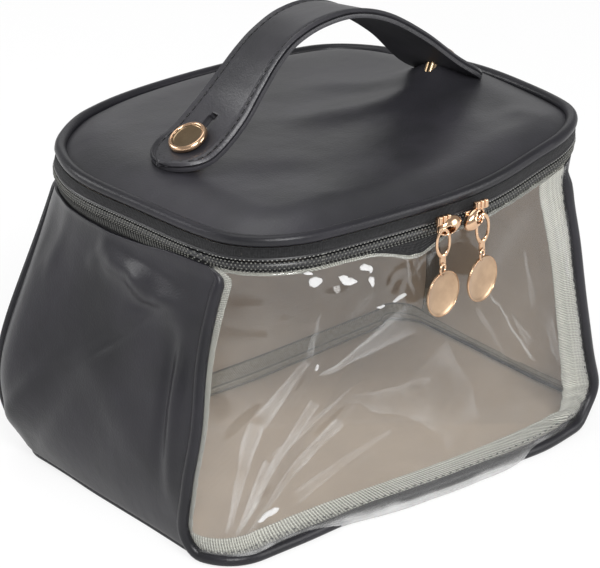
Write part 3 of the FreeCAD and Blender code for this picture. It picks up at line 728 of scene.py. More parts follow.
window = {"thickness": 0.6, "buckle": 3.2, "dip": 3.0, "corner": 1.2, "belly": 3.4, "tuck": 7}
windowCreases = (
    ((-56, -82, 100), (-70, -79, 76), 2.0, 2.0), ((-70, -79, 76), (-100, -64, 46), 2.3, 2.2),
    ((-27, -83, 96), (-61, -80, 74), 2.0, 1.9), ((24, -82, 87), (68, -78, 38), 2.0, 1.7),
    ((-42, -84, 113), (-28, -84, 90), 2.0, 1.9), ((-62, -84, 117), (-52, -84, 102), 2.0, 1.7),
    ((-84, -70, 22), (-62, -77, 38), 2.4, 1.7), ((-97, -60, 14), (-34, -78, 62), 2.6, 1.9),
    ((-97, -58, 24), (-52, -78, 86), 2.2, 1.6), ((-98, -56, 10), (-16, -76, 36), 2.6, 1.4),
    ((-15, -84, 110), (-24, -82, 80), 2.2, 1.7), ((-6, -84, 112), (-12, -82, 84), 1.8, -1.4),
    ((-36, -83, 112), (-52, -82, 96), 1.9, 1.7), ((48, -80, 114), (72, -76, 66), 2.6, 1.2),
    ((20, -80, 64), (-24, -78, 50), 2.4, 1.0), ((6, -82, 100), (74, -74, 52), 2.4, 1.2),
    ((60, -80, 112), (80, -72, 84), 2.2, 1.2), ((-66, -78, 52), (-40, -78, 84), 2.4, 1.3),
)


def windowCrumple(spot):    # the film buckles most near the upper left, and dips under the sliders
    buckle = window["buckle"] * near(spot, -48, 104, 30, 20) * wave(spot.x / 10, 7.3, spot.z / 8)
    corner = window["corner"] * near(spot, 82, 16, 16, 18) * wave(spot.x / 9, 2.1, spot.z / 7)
    belly = window["belly"] * eased(spot.x, -62, -25) * (1 - eased(spot.x, 30, 70))
    belly *= fadeAbove(spot.z, 3.5, 16)
    return belly + buckle + corner - window["dip"] * near(spot, -16, 112, 13, 16)


bm = wallSheet(leftSeam - 8, rightSeam, 230, 120, 0, windowCreases, uneven=1.8, size=24, bottom=1.0,
               crumple=windowCrumple, under=lambda u: window["tuck"] * bellyOut(u))
makePiece("clearWindow", bm, vinyl, "bag_body", ["front_window"], window["thickness"])


# Ribbon binding inside the window: four mitred strips of one frame

ribbon = {"left": 3.0, "bottom": 8.8, "right": 12.5, "top": 1.3, "foot": 2.8, "inset": 1.0, "thickness": 0.5,
          "drawnIn": 2.0, "lifted": 1.2, "gather": 0.3, "cornerGather": 1.1,
          "stitch": 3.0, "stitchIn": 2.6, "stitchSize": (1.7, 0.42, 0.4)}


def ribbonSpot(s, t):
    side = min(int(s * 4), 3)
    share = s * 4 - side
    left, right, cornerRun = -0.98, rightSeam - 0.02, wall["arcLengths"][1]
    inLeft, inRight = left + ribbon["left"] / cornerRun, right - ribbon["right"] / cornerRun
    foot, inFoot = ribbon["foot"], ribbon["foot"] + ribbon["bottom"]
    if side in (1, 3):    # along the bottom, or back along the top
        way = share if side == 1 else 1 - share
        u, inU, climb = spread(left, right)(way), spread(inLeft, inRight)(way), side // 2
    else:                 # down the left, or up the right
        u, inU, climb = (left, inLeft, 1 - share) if side == 0 else (right, inRight, share)
    outer = foot + (topEdge(u) - foot) * climb
    inner = inFoot + (topEdge(inU) - ribbon["top"] - inFoot) * climb
    height = outer + (inner - outer) * t
    u = u + (inU - u) * t
    drawn = fadeAbove(height, 6, 12) * frontRise(u)
    spot, out = ring(u, height, ribbon["inset"] + footTuck(height) + ribbon["drawnIn"] * drawn)
    spot.z += ribbon["lifted"] * drawn
    gather = ribbon["gather"] + ribbon["cornerGather"] * near(spot, 88, 18, 18, 22)
    pucker = gather * wave(s * 150, t * 1.2, 3)
    return soft(spot + out * (pucker + creaseLift(spot, windowCreases) * 0.8))


bm = makeGrid(560, 8, ribbonSpot, 700, 6)
bmesh.ops.recalc_face_normals(bm, faces=bm.faces)
makePiece("ribbonBinding", bm, ribbonCloth, "bag_body", ["window_binding"], ribbon["thickness"])
places = []
for side, total, width in (    # a row beside the outer edge, below and up the right
        (1, 172, ribbon["bottom"]), (2, 104, ribbon["right"])):
    for step in range(int(total / ribbon["stitch"])):
        share = (step + 0.5) * ribbon["stitch"] / total
        s, t = (side + share * 0.998) / 4, ribbon["stitchIn"] / width
        here = ribbonSpot(s, t)
        way = ribbonSpot(s + 0.0008, t) - here
        out = way.cross(ribbonSpot(s, t + 0.1) - here).normalized()
        if out.y > 0:
            out = -out
        places.append(facing(here + out * 0.35, way, out) @ Matrix.Diagonal((*ribbon["stitchSize"], 1)))
stitchShape = smallShape(bmesh.ops.create_uvsphere, u_segments=8, v_segments=5, radius=0.5)
makePiece("ribbonStitches", repeat(stitchShape, places), blackThread, "bag_body")
print("window made")


# Linings

for side, start, end, _, columns, creases, _, node in wallParts:
    bm = wallSheet(start, end, columns, 50, thick + cloth["gap"], creases, cloth["foot"],
                   lambda u: topEdge(u) - 0.6, sag=liningSag)
    makePiece(side + "Lining", bm, lining, "bag_body", [node], cloth["thickness"])


def squareTurn(x, y, reach):    # the place round the ring of a spot on a square, -1 to 1 each way
    if abs(y) >= abs(x):
        return (0.5 + x / reach) if y < 0 else (4.5 - x / reach)
    return (2.5 + y / reach) if x > 0 else (6.5 - y / reach)


def makeFloorSheet(name, height, inset, finish, node, swell, thickness, tuck=0.0):
    def place(s, t):
        x, y = 2 * s - 1, 2 * t - 1
        reach = max(abs(x), abs(y))
        if reach < 1e-6:
            return soft(Vector((0, 0, height + swell)))
        u = squareTurn(x, y, reach)
        spot, _ = ring(u, height, inset + tuck * bellyOut(u))
        spot.x *= reach
        spot.y *= reach
        lift = swell * (1 - reach ** 2) + unevenness(spot, 22, 0.3)
        return soft(spot + Vector((0, 0, lift)))
    makePiece(name, makeGrid(60, 60, place, 200, 140), finish, "bag_body", [node], thickness)


makeFloorSheet("floorLining", 4.0, 4.2, lining, "bottom_lining", 0.6, 0.7)
makeFloorSheet("basePanel", 1.3, 1.0, leather, "bottom_panel", 0.0, 1.2, 6.0)
print("linings made")

seamTape = {"floorWidth": 4.8, "floorInset": 2.4, "floorHeight": 4.6, "backWidth": 8.5, "thickness": 0.6}


def floorTapeSpot(s, t):    # folded into the corner between the floor and the walls
    u = spread(rightSeam, leftSeam)(s)
    bend = (t - 0.5) * 2
    width = seamTape["floorWidth"] * (0.34 + 0.66 * eased(u, 2.7, 3.5))    # narrower to the right
    rise = max(bend, 0) * width + 0.6
    run = max(-bend, 0) * width
    curve = 2.2 * (1 - abs(bend)) ** 2 + 1.5 * wave(s * 26, t * 0.8, 5.5)
    inset = seamTape["floorInset"] + run + curve + liningSag(u, rise)
    return soft(ring(u, seamTape["floorHeight"] + rise + curve * 0.5, inset)[0])


makePiece("floorSeamTape", makeGrid(200, 12, floorTapeSpot, 450, 14), seamCloth, "bag_body",
          ["floor_seam_tape"], seamTape["thickness"], offset=0)

for side, seam in (("left", backLeftSeam), ("right", backRightSeam)):
    def tapeSpot(s, t):
        width = seamTape["backWidth"] * (s - 0.5)
        height = 6 + (topEdge(seam) - 8) * t
        run = 34 if seam > 5 or width > 0 else 95    # the arc that the tape lies on
        inset = thick + 1.05 - 0.5 * (1 - (2 * s - 1) ** 2) + liningSag(seam, height)
        return soft(ring(seam + width / run, height, inset)[0])
    makePiece(side + "BackSeamTape", makeGrid(10, 60, tapeSpot, 9, 110), seamCloth, "bag_body",
              ["back_" + side + "_seam_tape"], seamTape["thickness"])


# Piping

piping = {"front": 2.3, "back": 2.0, "foot": 2.6, "cornerRun": 0.24, "cornerRise": 13.0, "drawnIn": 2.2,
          "lifted": 1.0}


def frontPath():    # u and height, down the left, along the foot and up the right
    left, right, run = leftSeam - 8, rightSeam, piping["cornerRun"]
    foot, drop = piping["foot"], piping["cornerRise"]
    at = spread(left + run, right - run)
    turns = [step / 16 * quarterTurn for step in range(17)]
    bend = [((1 - math.cos(turn)) * run, foot + drop * (1 - math.sin(turn))) for turn in turns]
    line = [(left, topEdge(left) - 1 - (topEdge(left) - 3.6 - drop) * step / 60) for step in range(60)]
    line += [(left + way, height) for way, height in bend]
    line += [(at(step / 150), foot) for step in range(1, 150)]
    line += [(right - way, height) for way, height in reversed(bend)]
    return line + [(right, foot + drop + (topEdge(right) - 3.6 - drop) * step / 60) for step in range(1, 61)]


def pipingSpots(line, drawn):
    spots = []
    for u, height in line:
        belly = fadeAbove(height, 3, 9) * bellyOut(u) if drawn else 0
        inset = footTuck(height) * 0.6 + piping["drawnIn"] * belly + 1.2 * eased(height, 106, 118)
        spot, out = ring(u, height, inset)
        spots.append(soft(spot + out * 0.4 + Vector((0, 0, piping["lifted"] * belly))))
    return spots


bm = makeTube(evenLine(pipingSpots(frontPath(), True), 260), piping["front"], 12, ends=0.35)
makePiece("frontPiping", bm, leather, "bag_body", ["front_left_piping", "front_right_piping"])


flap = {"foot": 2.2, "top": 3.6, "topInset": 2.0, "drawnIn": 1.8, "thickness": 0.8}


def flapSpot(s, t):    # the leather edge between the ribbon and the lower piping
    u = spread(-0.85, rightSeam - 0.06)(s)
    foot, _ = ring(u, flap["foot"], footTuck(flap["foot"]) * 0.6 + piping["drawnIn"] * bellyOut(u) + 0.4)
    foot.z += piping["lifted"] * bellyOut(u)
    top, _ = ring(u, flap["top"], flap["topInset"] + footTuck(flap["top"]) + flap["drawnIn"] * frontRise(u))
    top.z += ribbon["lifted"] * frontRise(u) - 0.4
    return soft(foot.lerp(top, t))


makePiece("frontFlap", makeGrid(160, 6, flapSpot, 190, 6), leather, "bag_body", thickness=flap["thickness"])
for side, seam in (("left", backLeftSeam), ("right", backRightSeam)):
    line = [(seam, 1.5 + (topEdge(seam) - 2) * step / 80) for step in range(81)]
    bm = makeTube(evenLine(pipingSpots(line, False), 90), piping["back"], 12, ends=0.4)
    makePiece("back" + side.title() + "Piping", bm, leather, "bag_body", ["back_" + side + "_piping"])
print("piping made")


# Zip: tapes, coil halves, stitches and the back hinge

zipper = {"parting": 123.0, "tooth": 1.5, "hingeHalf": 45.0, "tape": 0.8, "coil": 0.6, "coilInset": 1.0,
          "coilBow": 1.2, "loopHeight": 117.2}
hingeTurn = 0.5 - zipper["hingeHalf"] / 119.0    # share of the back arc outside the hinge
openLow, openHigh = 5 - hingeTurn, 12 + hingeTurn
zipRound = 530    # the whole way round the zip


def makeBand(name, bottom, top, inset, rows, finish, body, nodes, thickness, bow=0.0, columns=320,
             low=openLow, high=openHigh):
    at = spread(low, high)

    def place(s, t):
        u = at(s)
        foot = bottom(u) if callable(bottom) else bottom
        return soft(ring(u, foot + (top - foot) * t, inset - bow * math.sin(math.pi * t))[0])
    bm = makeGrid(columns, rows, place, zipRound * (high - low) / 8, top - wall["top"])
    return makePiece(name, bm, finish, body, nodes, thickness)


def tapeFoot(u):    # the tape reaches less far down behind the film
    turn = fromFront(u)
    besideFilm = eased(turn, -1.05, -0.9) * (1 - eased(turn, 1.25, 1.4)) if turn < 4 else eased(turn, 6.95, 7)
    return topEdge(u) - 4 + 3.2 * besideFilm


def rimPlaces(low, high, height, inset, make, shift=0.5):    # one place for each tooth
    at, pitch = spread(low, high), zipper["tooth"]
    line = [ring(at(k / 3000), wall["top"])[0] for k in range(3001)]
    steps = [(b - a).length for a, b in zip(line, line[1:])]
    reach, index, places = 0.0, 0, []
    for step in range(int(sum(steps) / pitch)):
        while reach + steps[index] < (step + shift) * pitch:
            reach += steps[index]
            index += 1
        spot, out = ring(at(index / 3000), height, inset)
        places.append(make(soft(spot), Vector((0, 0, 1)).cross(out), out))
    return places


def leaning(turn, sizes):    # a small shape's place, turned in the tape's own plane
    def make(spot, way, out):
        return facing(spot, way, out) @ Matrix.Rotation(turn, 4, "Z") @ Matrix.Diagonal((*sizes, 1))
    return make


parting, tape = zipper["parting"], zipper["tape"]
makeBand("lowerZipTape", tapeFoot, 122.5, 1.3, 10, zipCloth, "bag_body", ["lower_zip_tape"], tape)
makeBand("upperZipTape", parting, 128.6, 1.1, 12, zipCloth, "lid", ["upper_zip_tape"], tape, 0.9)
hinge = makeBand("backHinge", 110.0, 129.5, 1.3, 24, zipCloth, None, ["back_hinge_lower", "back_hinge_upper"],
                 tape, 0.0, 80, 4 + hingeTurn - 0.01, 5 - hingeTurn + 0.01)
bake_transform(hinge)
for name, foot, top, body, node in (("lowerCoil", 119.6, parting, "bag_body", "lower_zip_coil"),
                                    ("upperCoil", parting + 0.1, 125.3, "lid", "upper_zip_coil")):
    makeBand(name, foot, top, zipper["coilInset"], 6, coilNylon, body, [node], zipper["coil"],
             zipper["coilBow"])
tooth = smallShape(bmesh.ops.create_uvsphere, u_segments=6, v_segments=4, radius=0.5)
bead = smallShape(bmesh.ops.create_icosphere, subdivisions=1, radius=0.5)
# rows of the coil's real stitches and loops, their pale and grey colours painted highlights
for name, height, inset, shift, finish, body, wide, tall in (
        ("coilTopStitches", 124.0, 0.05, 0.5, paleThreadPaintedHighlight, "lid", 0.85, 0.75),
        ("coilUpperLoops", 122.9, -0.25, 0.0, greyThreadPaintedHighlight, "lid", 0.9, 0.8),
        ("coilMiddleLoops", 121.7, -0.15, 0.5, greyThreadPaintedHighlight, "bag_body", 0.9, 0.8),
        ("coilLowerLoops", 120.5, -0.2, 0.0, greyThreadPaintedHighlight, "bag_body", 0.85, 0.75),
        ("coilBottomStitches", 119.2, 0.5, 0.5, greyThreadPaintedHighlight, "bag_body", 0.8, 0.65)):
    places = rimPlaces(openLow, openHigh, height, inset, leaning(0.5, (wide, tall, 0.7)), shift)
    makePiece(name, repeat(bead, places), finish, body)
places = []
for start, end in ((openLow, 7.05), (9.5, openHigh)):    # not above the window
    places += rimPlaces(start, end, zipper["loopHeight"], 1.0, leaning(0.38, (0.72, 4.6, 1.1)))
makePiece("tapeEdgeLoops", repeat(tooth, places), strokeThread, "bag_body")
print("zip made")


# Lid: welt, padded top and lining

lid = {"seam": 129.5, "welt": 2.3, "weltInset": 2.3, "weltRise": 1.2, "rise": 5.8, "shoulder": 19.0,
       "studAt": 60.0, "tent": 7.5, "rightTent": 2.6, "tentReach": 15.0, "panel": 1.2, "panelInset": 4.0,
       "lining": 0.8, "liningInset": 3.0, "liningHeight": 127.4, "evenRows": 0.62, "flatInset": 28}
lidCreases = (
    ((54, -8, 135), (-6, 5, 135), 8, 1.8), ((56, 8, 135), (20, 34, 135), 9, 1.0),
    ((58, -12, 135), (40, -46, 135), 8, 1.0), ((60, -41, 135), (71, -63, 135), 7, 1.0),
    ((-56, -8, 135), (-20, -30, 135), 10, 0.6), ((-40, 20, 135), (-8, 44, 135), 12, 0.8),
)


def lidHeight(spot, inset):    # the dome, its creases, and the tents where the studs pull it up
    share = min(max((inset - 4.4) / lid["shoulder"], 0), 1)
    height = lid["seam"] + 1.5 + lid["rise"] * (1 - (1 - share) ** 2.4) - 0.6
    height += creaseLift(Vector((spot.x, spot.y, 135)), lidCreases) * share
    away = math.hypot(abs(spot.x) * (spot.x > 0) - lid["studAt"], spot.y) / lid["tentReach"]
    tent = lid["tent"] + (lid["rightTent"] if spot.x > 0 else 0)
    return height + tent * math.exp(-away ** 1.5 * 1.6) + unevenness(spot, 30, 0.9) * share


def insetOf(x, y):    # how far a spot lies inside the rim's outline
    a, b, px, py, corner, front, side, tf, ts = shapeAt(112)
    ax, ay = abs(x), abs(y)
    turn = math.atan2(ax - px, ay + py) if (ax > px and ay > -py) else None
    if turn is not None and tf <= turn <= ts:
        return corner - math.hypot(ax - px, ay + py)
    return min(front - math.hypot(x, ay + a), side - math.hypot(ax + b, y))

def squareSpot(s, t, start):    # a square grid spread over the lid, its rim rows at even insets
    x, y = 2 * s - 1, 2 * t - 1
    reach = max(abs(x), abs(y))
    if reach < 1e-6:
        return Vector((0, 0, 0)), 80.0
    full, edge = lid["flatInset"], lid["evenRows"]
    inset = start + (full - start) * (1 - reach) / (1 - edge) if reach > edge else full
    spot, _ = ring(squareTurn(x, y, reach), wall["top"], inset)
    if reach <= edge:
        spot = spot * (reach / edge)
    spot.z = 0
    return spot, insetOf(spot.x, spot.y)


def lidSpot(s, t):
    spot, inset = squareSpot(s, t, lid["panelInset"])
    spot.z = lid["seam"]
    spot.z = lidHeight(spot, inset)
    return soft(spot)


def lidLiningSpot(s, t):
    spot, _ = squareSpot(s, t, lid["liningInset"])
    spot.z = lid["liningHeight"]
    return soft(spot)


bm = makeGrid(150, 150, lidSpot, 180, 166)
lidPad = makePiece("lidTop", bm, lidLeatherPaintedLight, "lid", ["lid_panel", "lid_foam"], lid["panel"])
bm = makeGrid(60, 60, lidLiningSpot, 180, 166)
makePiece("lidLining", bm, lining, "lid", ["lid_lining"], lid["lining"])
atRim = spread(0, 8)
weltPath = [soft(ring(atRim(step / 360), lid["seam"] + lid["weltRise"], lid["weltInset"])[0])
            for step in range(360)]
makePiece("lidWelt", makeTube(weltPath, lid["welt"], 14, closed=True), leather, "lid", ["lid_welt"])
print("lid made")


# Handle strap: two layers with slots, dashed seams and rounded tips

strap = {"width": 31.0, "layer": 1.6, "studAt": 60.0,
         "stations": (    # along, height and roll of the strap's middle line
             (-75.5, 137.5, 0), (-60, 141.5, 0), (-46.8, 151, 1), (-36, 162, 6.5), (-27.6, 170.5, 10),
             (-19.2, 176.5, 11), (-7.2, 180.8, 9), (7.8, 181.3, 8), (24, 175.6, 9), (42, 163.5, 10),
             (60, 147.5, 14), (79.5, 136.5, 8)),
         "slotTravel": 12.5, "slotHalf": 2.8, "edge": 0.25,
         "stitch": 3.6, "stitchInset": 3.0, "stitchSize": (2.3, 0.75, 0.6)}
strapSteps = 260
strapLine = smoothLine([Vector((x, roll / 1000, z)) for x, z, roll in strap["stations"]], strapSteps)
strapLength = sum((b - a).length for a, b in zip(strapLine, strapLine[1:]))


def strapFrame(reach):    # reach in mm from the left tip
    place = min(max(reach / strapLength, 0), 1) * strapSteps
    index = min(int(place), strapSteps - 1)
    spot = strapLine[index].lerp(strapLine[index + 1], place - index)
    roll = math.radians(spot.y * 1000)
    spot.y = 0
    way = strapLine[min(index + 2, strapSteps)] - strapLine[max(index - 1, 0)]
    way.y = 0
    way.normalize()
    up = Vector((-way.z, 0, way.x))
    across = Vector((0, math.cos(roll), 0)) - up * math.sin(roll)
    return spot, way, up * math.cos(roll) + Vector((0, math.sin(roll), 0)), across


def reachAt(x):
    nearest = min(range(strapSteps + 1), key=lambda k: abs(strapLine[k].x - x))
    return nearest / strapSteps * strapLength


studReach = {"left": reachAt(-strap["studAt"]), "right": reachAt(strap["studAt"])}


def strapHalf(reach):    # half the strap's width, narrowing round each tip
    half = strap["width"] / 2
    end = min(reach, strapLength - reach)
    return math.sqrt(max(half ** 2 - (half - end) ** 2, 0.02)) if end < half else half


def slotCore(start, reach):    # the nearest spot on a slot's middle line
    return start + min(max(reach - start, 0), strap["slotTravel"])


def inSlot(spot):
    return any(math.hypot(spot.x - slotCore(start, spot.x), spot.y) - strap["slotHalf"] < -0.02
               for start in studReach.values())


def makeStrap(name, rise, node):
    bm = bmesh.new()
    charts = bm.loops.layers.uv.new("UVMap")
    bmesh.ops.create_grid(bm, x_segments=256, y_segments=44, size=0.5, calc_uvs=True)
    for vert in bm.verts:    # rows closer together along the edges
        t = vert.co.y + 0.5
        t = 0.45 * t + 0.55 * (0.5 - 0.5 * math.cos(math.pi * t))
        reach = strapLength * (vert.co.x + 0.5)
        vert.co = Vector((reach, (2 * t - 1) * strapHalf(reach), 0))
    for vert in bm.verts:    # the grid is drawn onto each slot's edge
        for start in studReach.values():
            core = Vector((slotCore(start, vert.co.x), 0, 0))
            away = (vert.co - core).length
            if 1e-6 < away and abs(away - strap["slotHalf"]) < 0.42:
                vert.co = core + (vert.co - core) * (strap["slotHalf"] / away)
    gone = [face for face in bm.faces if inSlot(face.calc_center_median())]
    bmesh.ops.delete(bm, geom=gone, context="FACES")
    for face in bm.faces:
        for corner in face.loops:
            corner[charts].uv = (corner.vert.co.x * toMetres, corner.vert.co.y * toMetres)
    for vert in bm.verts:
        reach, across = vert.co.x, vert.co.y
        spot, _, up, side = strapFrame(reach)
        bead = 0.0
        if rise:    # the upper layer rises beside its edge and dips along the seam
            edge = strapHalf(reach) - abs(across)
            bead = 0.5 * math.exp(-((edge - 1.2) / 0.7) ** 2) - 0.45 * math.exp(-((edge - 3.0) / 0.7) ** 2)
            bead -= 0.7 * math.exp(-(edge / 0.5) ** 2)
        vert.co = spot + side * across + up * (rise + bead)
    bmesh.ops.remove_doubles(bm, verts=bm.verts, dist=0.02)
    return makePiece(name, bm, strapLeatherPaintedLight, "handle", [node], strap["layer"], strap["edge"])


def strapStitches():
    half, pitch = strap["width"] / 2, strap["stitch"]
    radius = half - strap["stitchInset"]
    turns = []
    for side in (1, -1):
        reach = half
        while reach < strapLength - half:
            turns.append((reach, side * radius, 0.0))
            reach += pitch
    count = int(math.pi * radius / pitch)
    for step in range(1, count):    # round the two tips
        turn = quarterTurn + math.pi * step / count
        run, across = radius * math.cos(turn), radius * math.sin(turn)
        turns.append((half + run, across, turn + quarterTurn))
        turns.append((strapLength - half - run, across, quarterTurn - turn))
    places = []
    for reach, across, turn in turns:
        spot, way, up, side = strapFrame(reach)
        spot = spot + side * across + up * (strap["layer"] - 0.2)
        put = facing(spot, way, up) @ Matrix.Rotation(turn, 4, "Z")
        places.append(put @ Matrix.Diagonal((*strap["stitchSize"], 1)))
    return places


stitch = smallShape(bmesh.ops.create_uvsphere, u_segments=8, v_segments=5, radius=0.5,
                    matrix=Matrix.Rotation(quarterTurn, 4, "Y"))
for piece in (makeStrap("strapTop", strap["layer"], "handle_upper_strap"),
              makeStrap("strapUnder", 0.0, "handle_under_strap"),
              makePiece("strapStitches", repeat(stitch, strapStitches()), blackThread, "handle")):
    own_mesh(piece)
print("handle made")


# Studs

stud = {"cap": 7.8, "thick": 2.8, "under": 2.5, "post": 2.5, "reach": 12.0, "edge": 0.2, "edgeAngle": 0.6}


def turnRound(bm, geom, steps):
    bmesh.ops.spin(bm, geom=geom, cent=(0, 0, 0), axis=(0, 0, 1), dvec=(0, 0, 0), angle=fullTurn, steps=steps,
                   use_merge=True, use_duplicate=False)


def spun(profile, put, steps):    # profile: radius and height, from the axis round to the axis
    bm = bmesh.new()
    verts = [bm.verts.new((radius, 0, height)) for radius, height in profile]
    edges = [bm.edges.new(pair) for pair in zip(verts, verts[1:])]
    turnRound(bm, verts + edges, steps)
    bmesh.ops.remove_doubles(bm, verts=bm.verts, dist=0.001)
    bmesh.ops.recalc_face_normals(bm, faces=bm.faces)
    bmesh.ops.transform(bm, matrix=put, verts=bm.verts)
    return bm


def dress(node, finish):    # a CAD node that stays gets its finish
    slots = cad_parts[node].data.materials
    slots.clear()
    slots.append(finish.material)


base, cap = stud["under"], stud["cap"]
top = base + stud["thick"]
faceRows = (    # how far in from the cap's edge, and how far below its top
    (0, 0.9), (0.5, 0.15), (1.0, 0), (1.5, 0.25), (1.9, 0.75), (2.6, 0.85), (cap, 0.7))
rimRows = ((1.7, 0.6), (1.5, 0.1), (1.1, -0.12), (0.6, 0), (0.1, 0.5), (-0.1, 1.0))
studProfile = [(0, -stud["reach"]), (stud["post"], -stud["reach"]), (stud["post"], base), (cap - 0.7, base),
               (cap, base + 0.7), *((cap - inwards, top - below) for inwards, below in faceRows)]
rimProfile = [*((cap - inwards, top - below) for inwards, below in rimRows), (cap + 0.1, base + 0.9),
              (cap - 0.5, base + 0.3), (cap - 0.9, base + 0.3), (cap - 1.0, top - 0.9),
              (cap - 1.7, top - 0.6)]
for side, reach in studReach.items():
    put = facing(*strapFrame(reach)[:3])
    makePiece(side + "Stud", spun(studProfile, put, 64), capGold, "lid", [side + "_handle_stud"],
              edge=stud["edge"], edgeAngle=stud["edgeAngle"])
    makePiece(side + "StudRim", spun(rimProfile, put, 64), polishedGold, "lid")
    dress(side + "_stud_washer", capGold)
print("studs made")


# Sliders and pulls on the front of the zip

pull = {"left": -6.2, "right": 12.6, "plane": -87.2, "ringHeight": 107.2, "discHeight": 97.2, "disc": 9.2,
        "discTurn": 11, "hood": (5.4, 2.7, 3.6), "hoodAt": -86.9, "hoodWall": 0.65, "hoodMouth": 0.74}
sliderBlocks = (    # share of the crown's shift, y, height from the parting, sizes, bevel, segments
    (0.8, -85.2, 0, (8.6, 1.2, 5.4), 0.5, 3), (0, -83.3, 0, (2.6, 3.6, 0.5), 0.15, 2),
    (0, -81.2, -0.8, (10.4, 1.2, 6.0), 0.4, 2))
linkBlocks = (    # y from the pull's plane, height, sizes, bevel, taper
    (-0.1, 110.6, (2.7, 0.7, 4.4), 0.3, 0.85), (0.55, 110.2, (2.4, 0.6, 3.4), 0.25, 1.0),
    (0.15, 108.6, (2.4, 1.5, 0.7), 0.3, 1.0))
rimBow = 330.0
rimBack = rimBow - 83.0


def turnTo(place):    # along the front's bow, from the middle
    centre = Vector((0, rimBack, 0))
    turn = Matrix.Rotation(math.asin(place / rimBow), 4, "Z")
    return Matrix.Translation(centre) @ turn @ Matrix.Translation(-centre)


def addBlock(bm, x, y, z, sizes, bevel=0.4, taper=1.0, segments=3):
    verts = bmesh.ops.create_cube(bm, size=1)["verts"]
    bmesh.ops.scale(bm, vec=sizes, verts=verts)
    for vert in verts:
        if vert.co.z > 0:
            vert.co.x *= taper
    edges = list({edge for vert in verts for edge in vert.link_edges})
    bmesh.ops.translate(bm, vec=(x, y, z), verts=verts)
    bmesh.ops.bevel(bm, geom=edges, offset=bevel, segments=segments, affect="EDGES", profile=0.5, material=-1)


def addRing(bm, centre, radius, wire, axis, steps=36, stretch=(1, 1, 1)):
    start = Matrix.Translation((radius, 0, 0)) @ Matrix.Rotation(quarterTurn, 4, "X")
    verts = bmesh.ops.create_circle(bm, segments=10, radius=wire, matrix=start)["verts"]
    edges = list({edge for vert in verts for edge in vert.link_edges})
    turnRound(bm, verts + edges, steps)
    bmesh.ops.remove_doubles(bm, verts=bm.verts, dist=0.001)
    turn = Vector((0, 0, 1)).rotation_difference(Vector(axis)).to_matrix().to_4x4()
    put = Matrix.Translation(centre) @ Matrix.Diagonal((*stretch, 1)) @ turn
    bmesh.ops.transform(bm, matrix=put, verts=bm.verts)


def addHood(bm, x, z, lean, look):    # the domed crown, open where the link comes out
    bmesh.ops.create_uvsphere(bm, u_segments=32, v_segments=18, radius=1)
    way = Vector(look).normalized()
    gone = [face for face in bm.faces
            if face.calc_center_median().normalized().dot(way) > pull["hoodMouth"]]
    bmesh.ops.delete(bm, geom=gone, context="FACES")
    put = (Matrix.Translation((x, pull["hoodAt"], z)) @ Matrix.Rotation(lean, 4, "Y")
           @ Matrix.Diagonal((*pull["hood"], 1)))
    bmesh.ops.transform(bm, matrix=put, verts=bm.verts)
    bmesh.ops.solidify(bm, geom=bm.faces[:], thickness=pull["hoodWall"])


sliderShapes = {
    "left": {"body": 1.4, "lift": 0.2, "lean": 0.25, "look": (-0.55, -0.8, -0.35), "ridges": (-2.6, 3.7),
             "link": -0.6, "ring": -0.8, "disc": -1.0, "side": -1.7},
    "right": {"body": -5.4, "lift": -0.6, "lean": 0.6, "look": (0.55, -0.8, -0.1), "ridges": (3.6, 5.0),
              "link": 0.1, "ring": 0.0, "disc": -0.3, "side": -1.3},
}
radius = pull["disc"]
discRows = (    # how far in from the edge, and height: the back, the rounded edge and the dished face
    (radius, -0.8), (2.5, -0.75), (0.6, -0.5), (0.1, -0.2), (0, 0.2), (0.1, 0.5), (0.4, 0.66), (0.7, 0.6),
    (1.0, 0.42), (1.8, 0.2), (4.0, -0.12), (6.5, -0.28), (radius, -0.32))
discProfile = [(radius - inwards, height) for inwards, height in discRows]
discRim = [(radius - 0.2 + 0.12 * math.cos(k / 8 * fullTurn), 0.5 + 0.3 * math.sin(k / 8 * fullTurn))
           for k in range(9)]


def makePull(side, part, bm, put, node):
    bmesh.ops.transform(bm, matrix=put, verts=bm.verts)
    makePiece(side + part.title(), bm, polishedGold, side + "_" + part, [side + node])


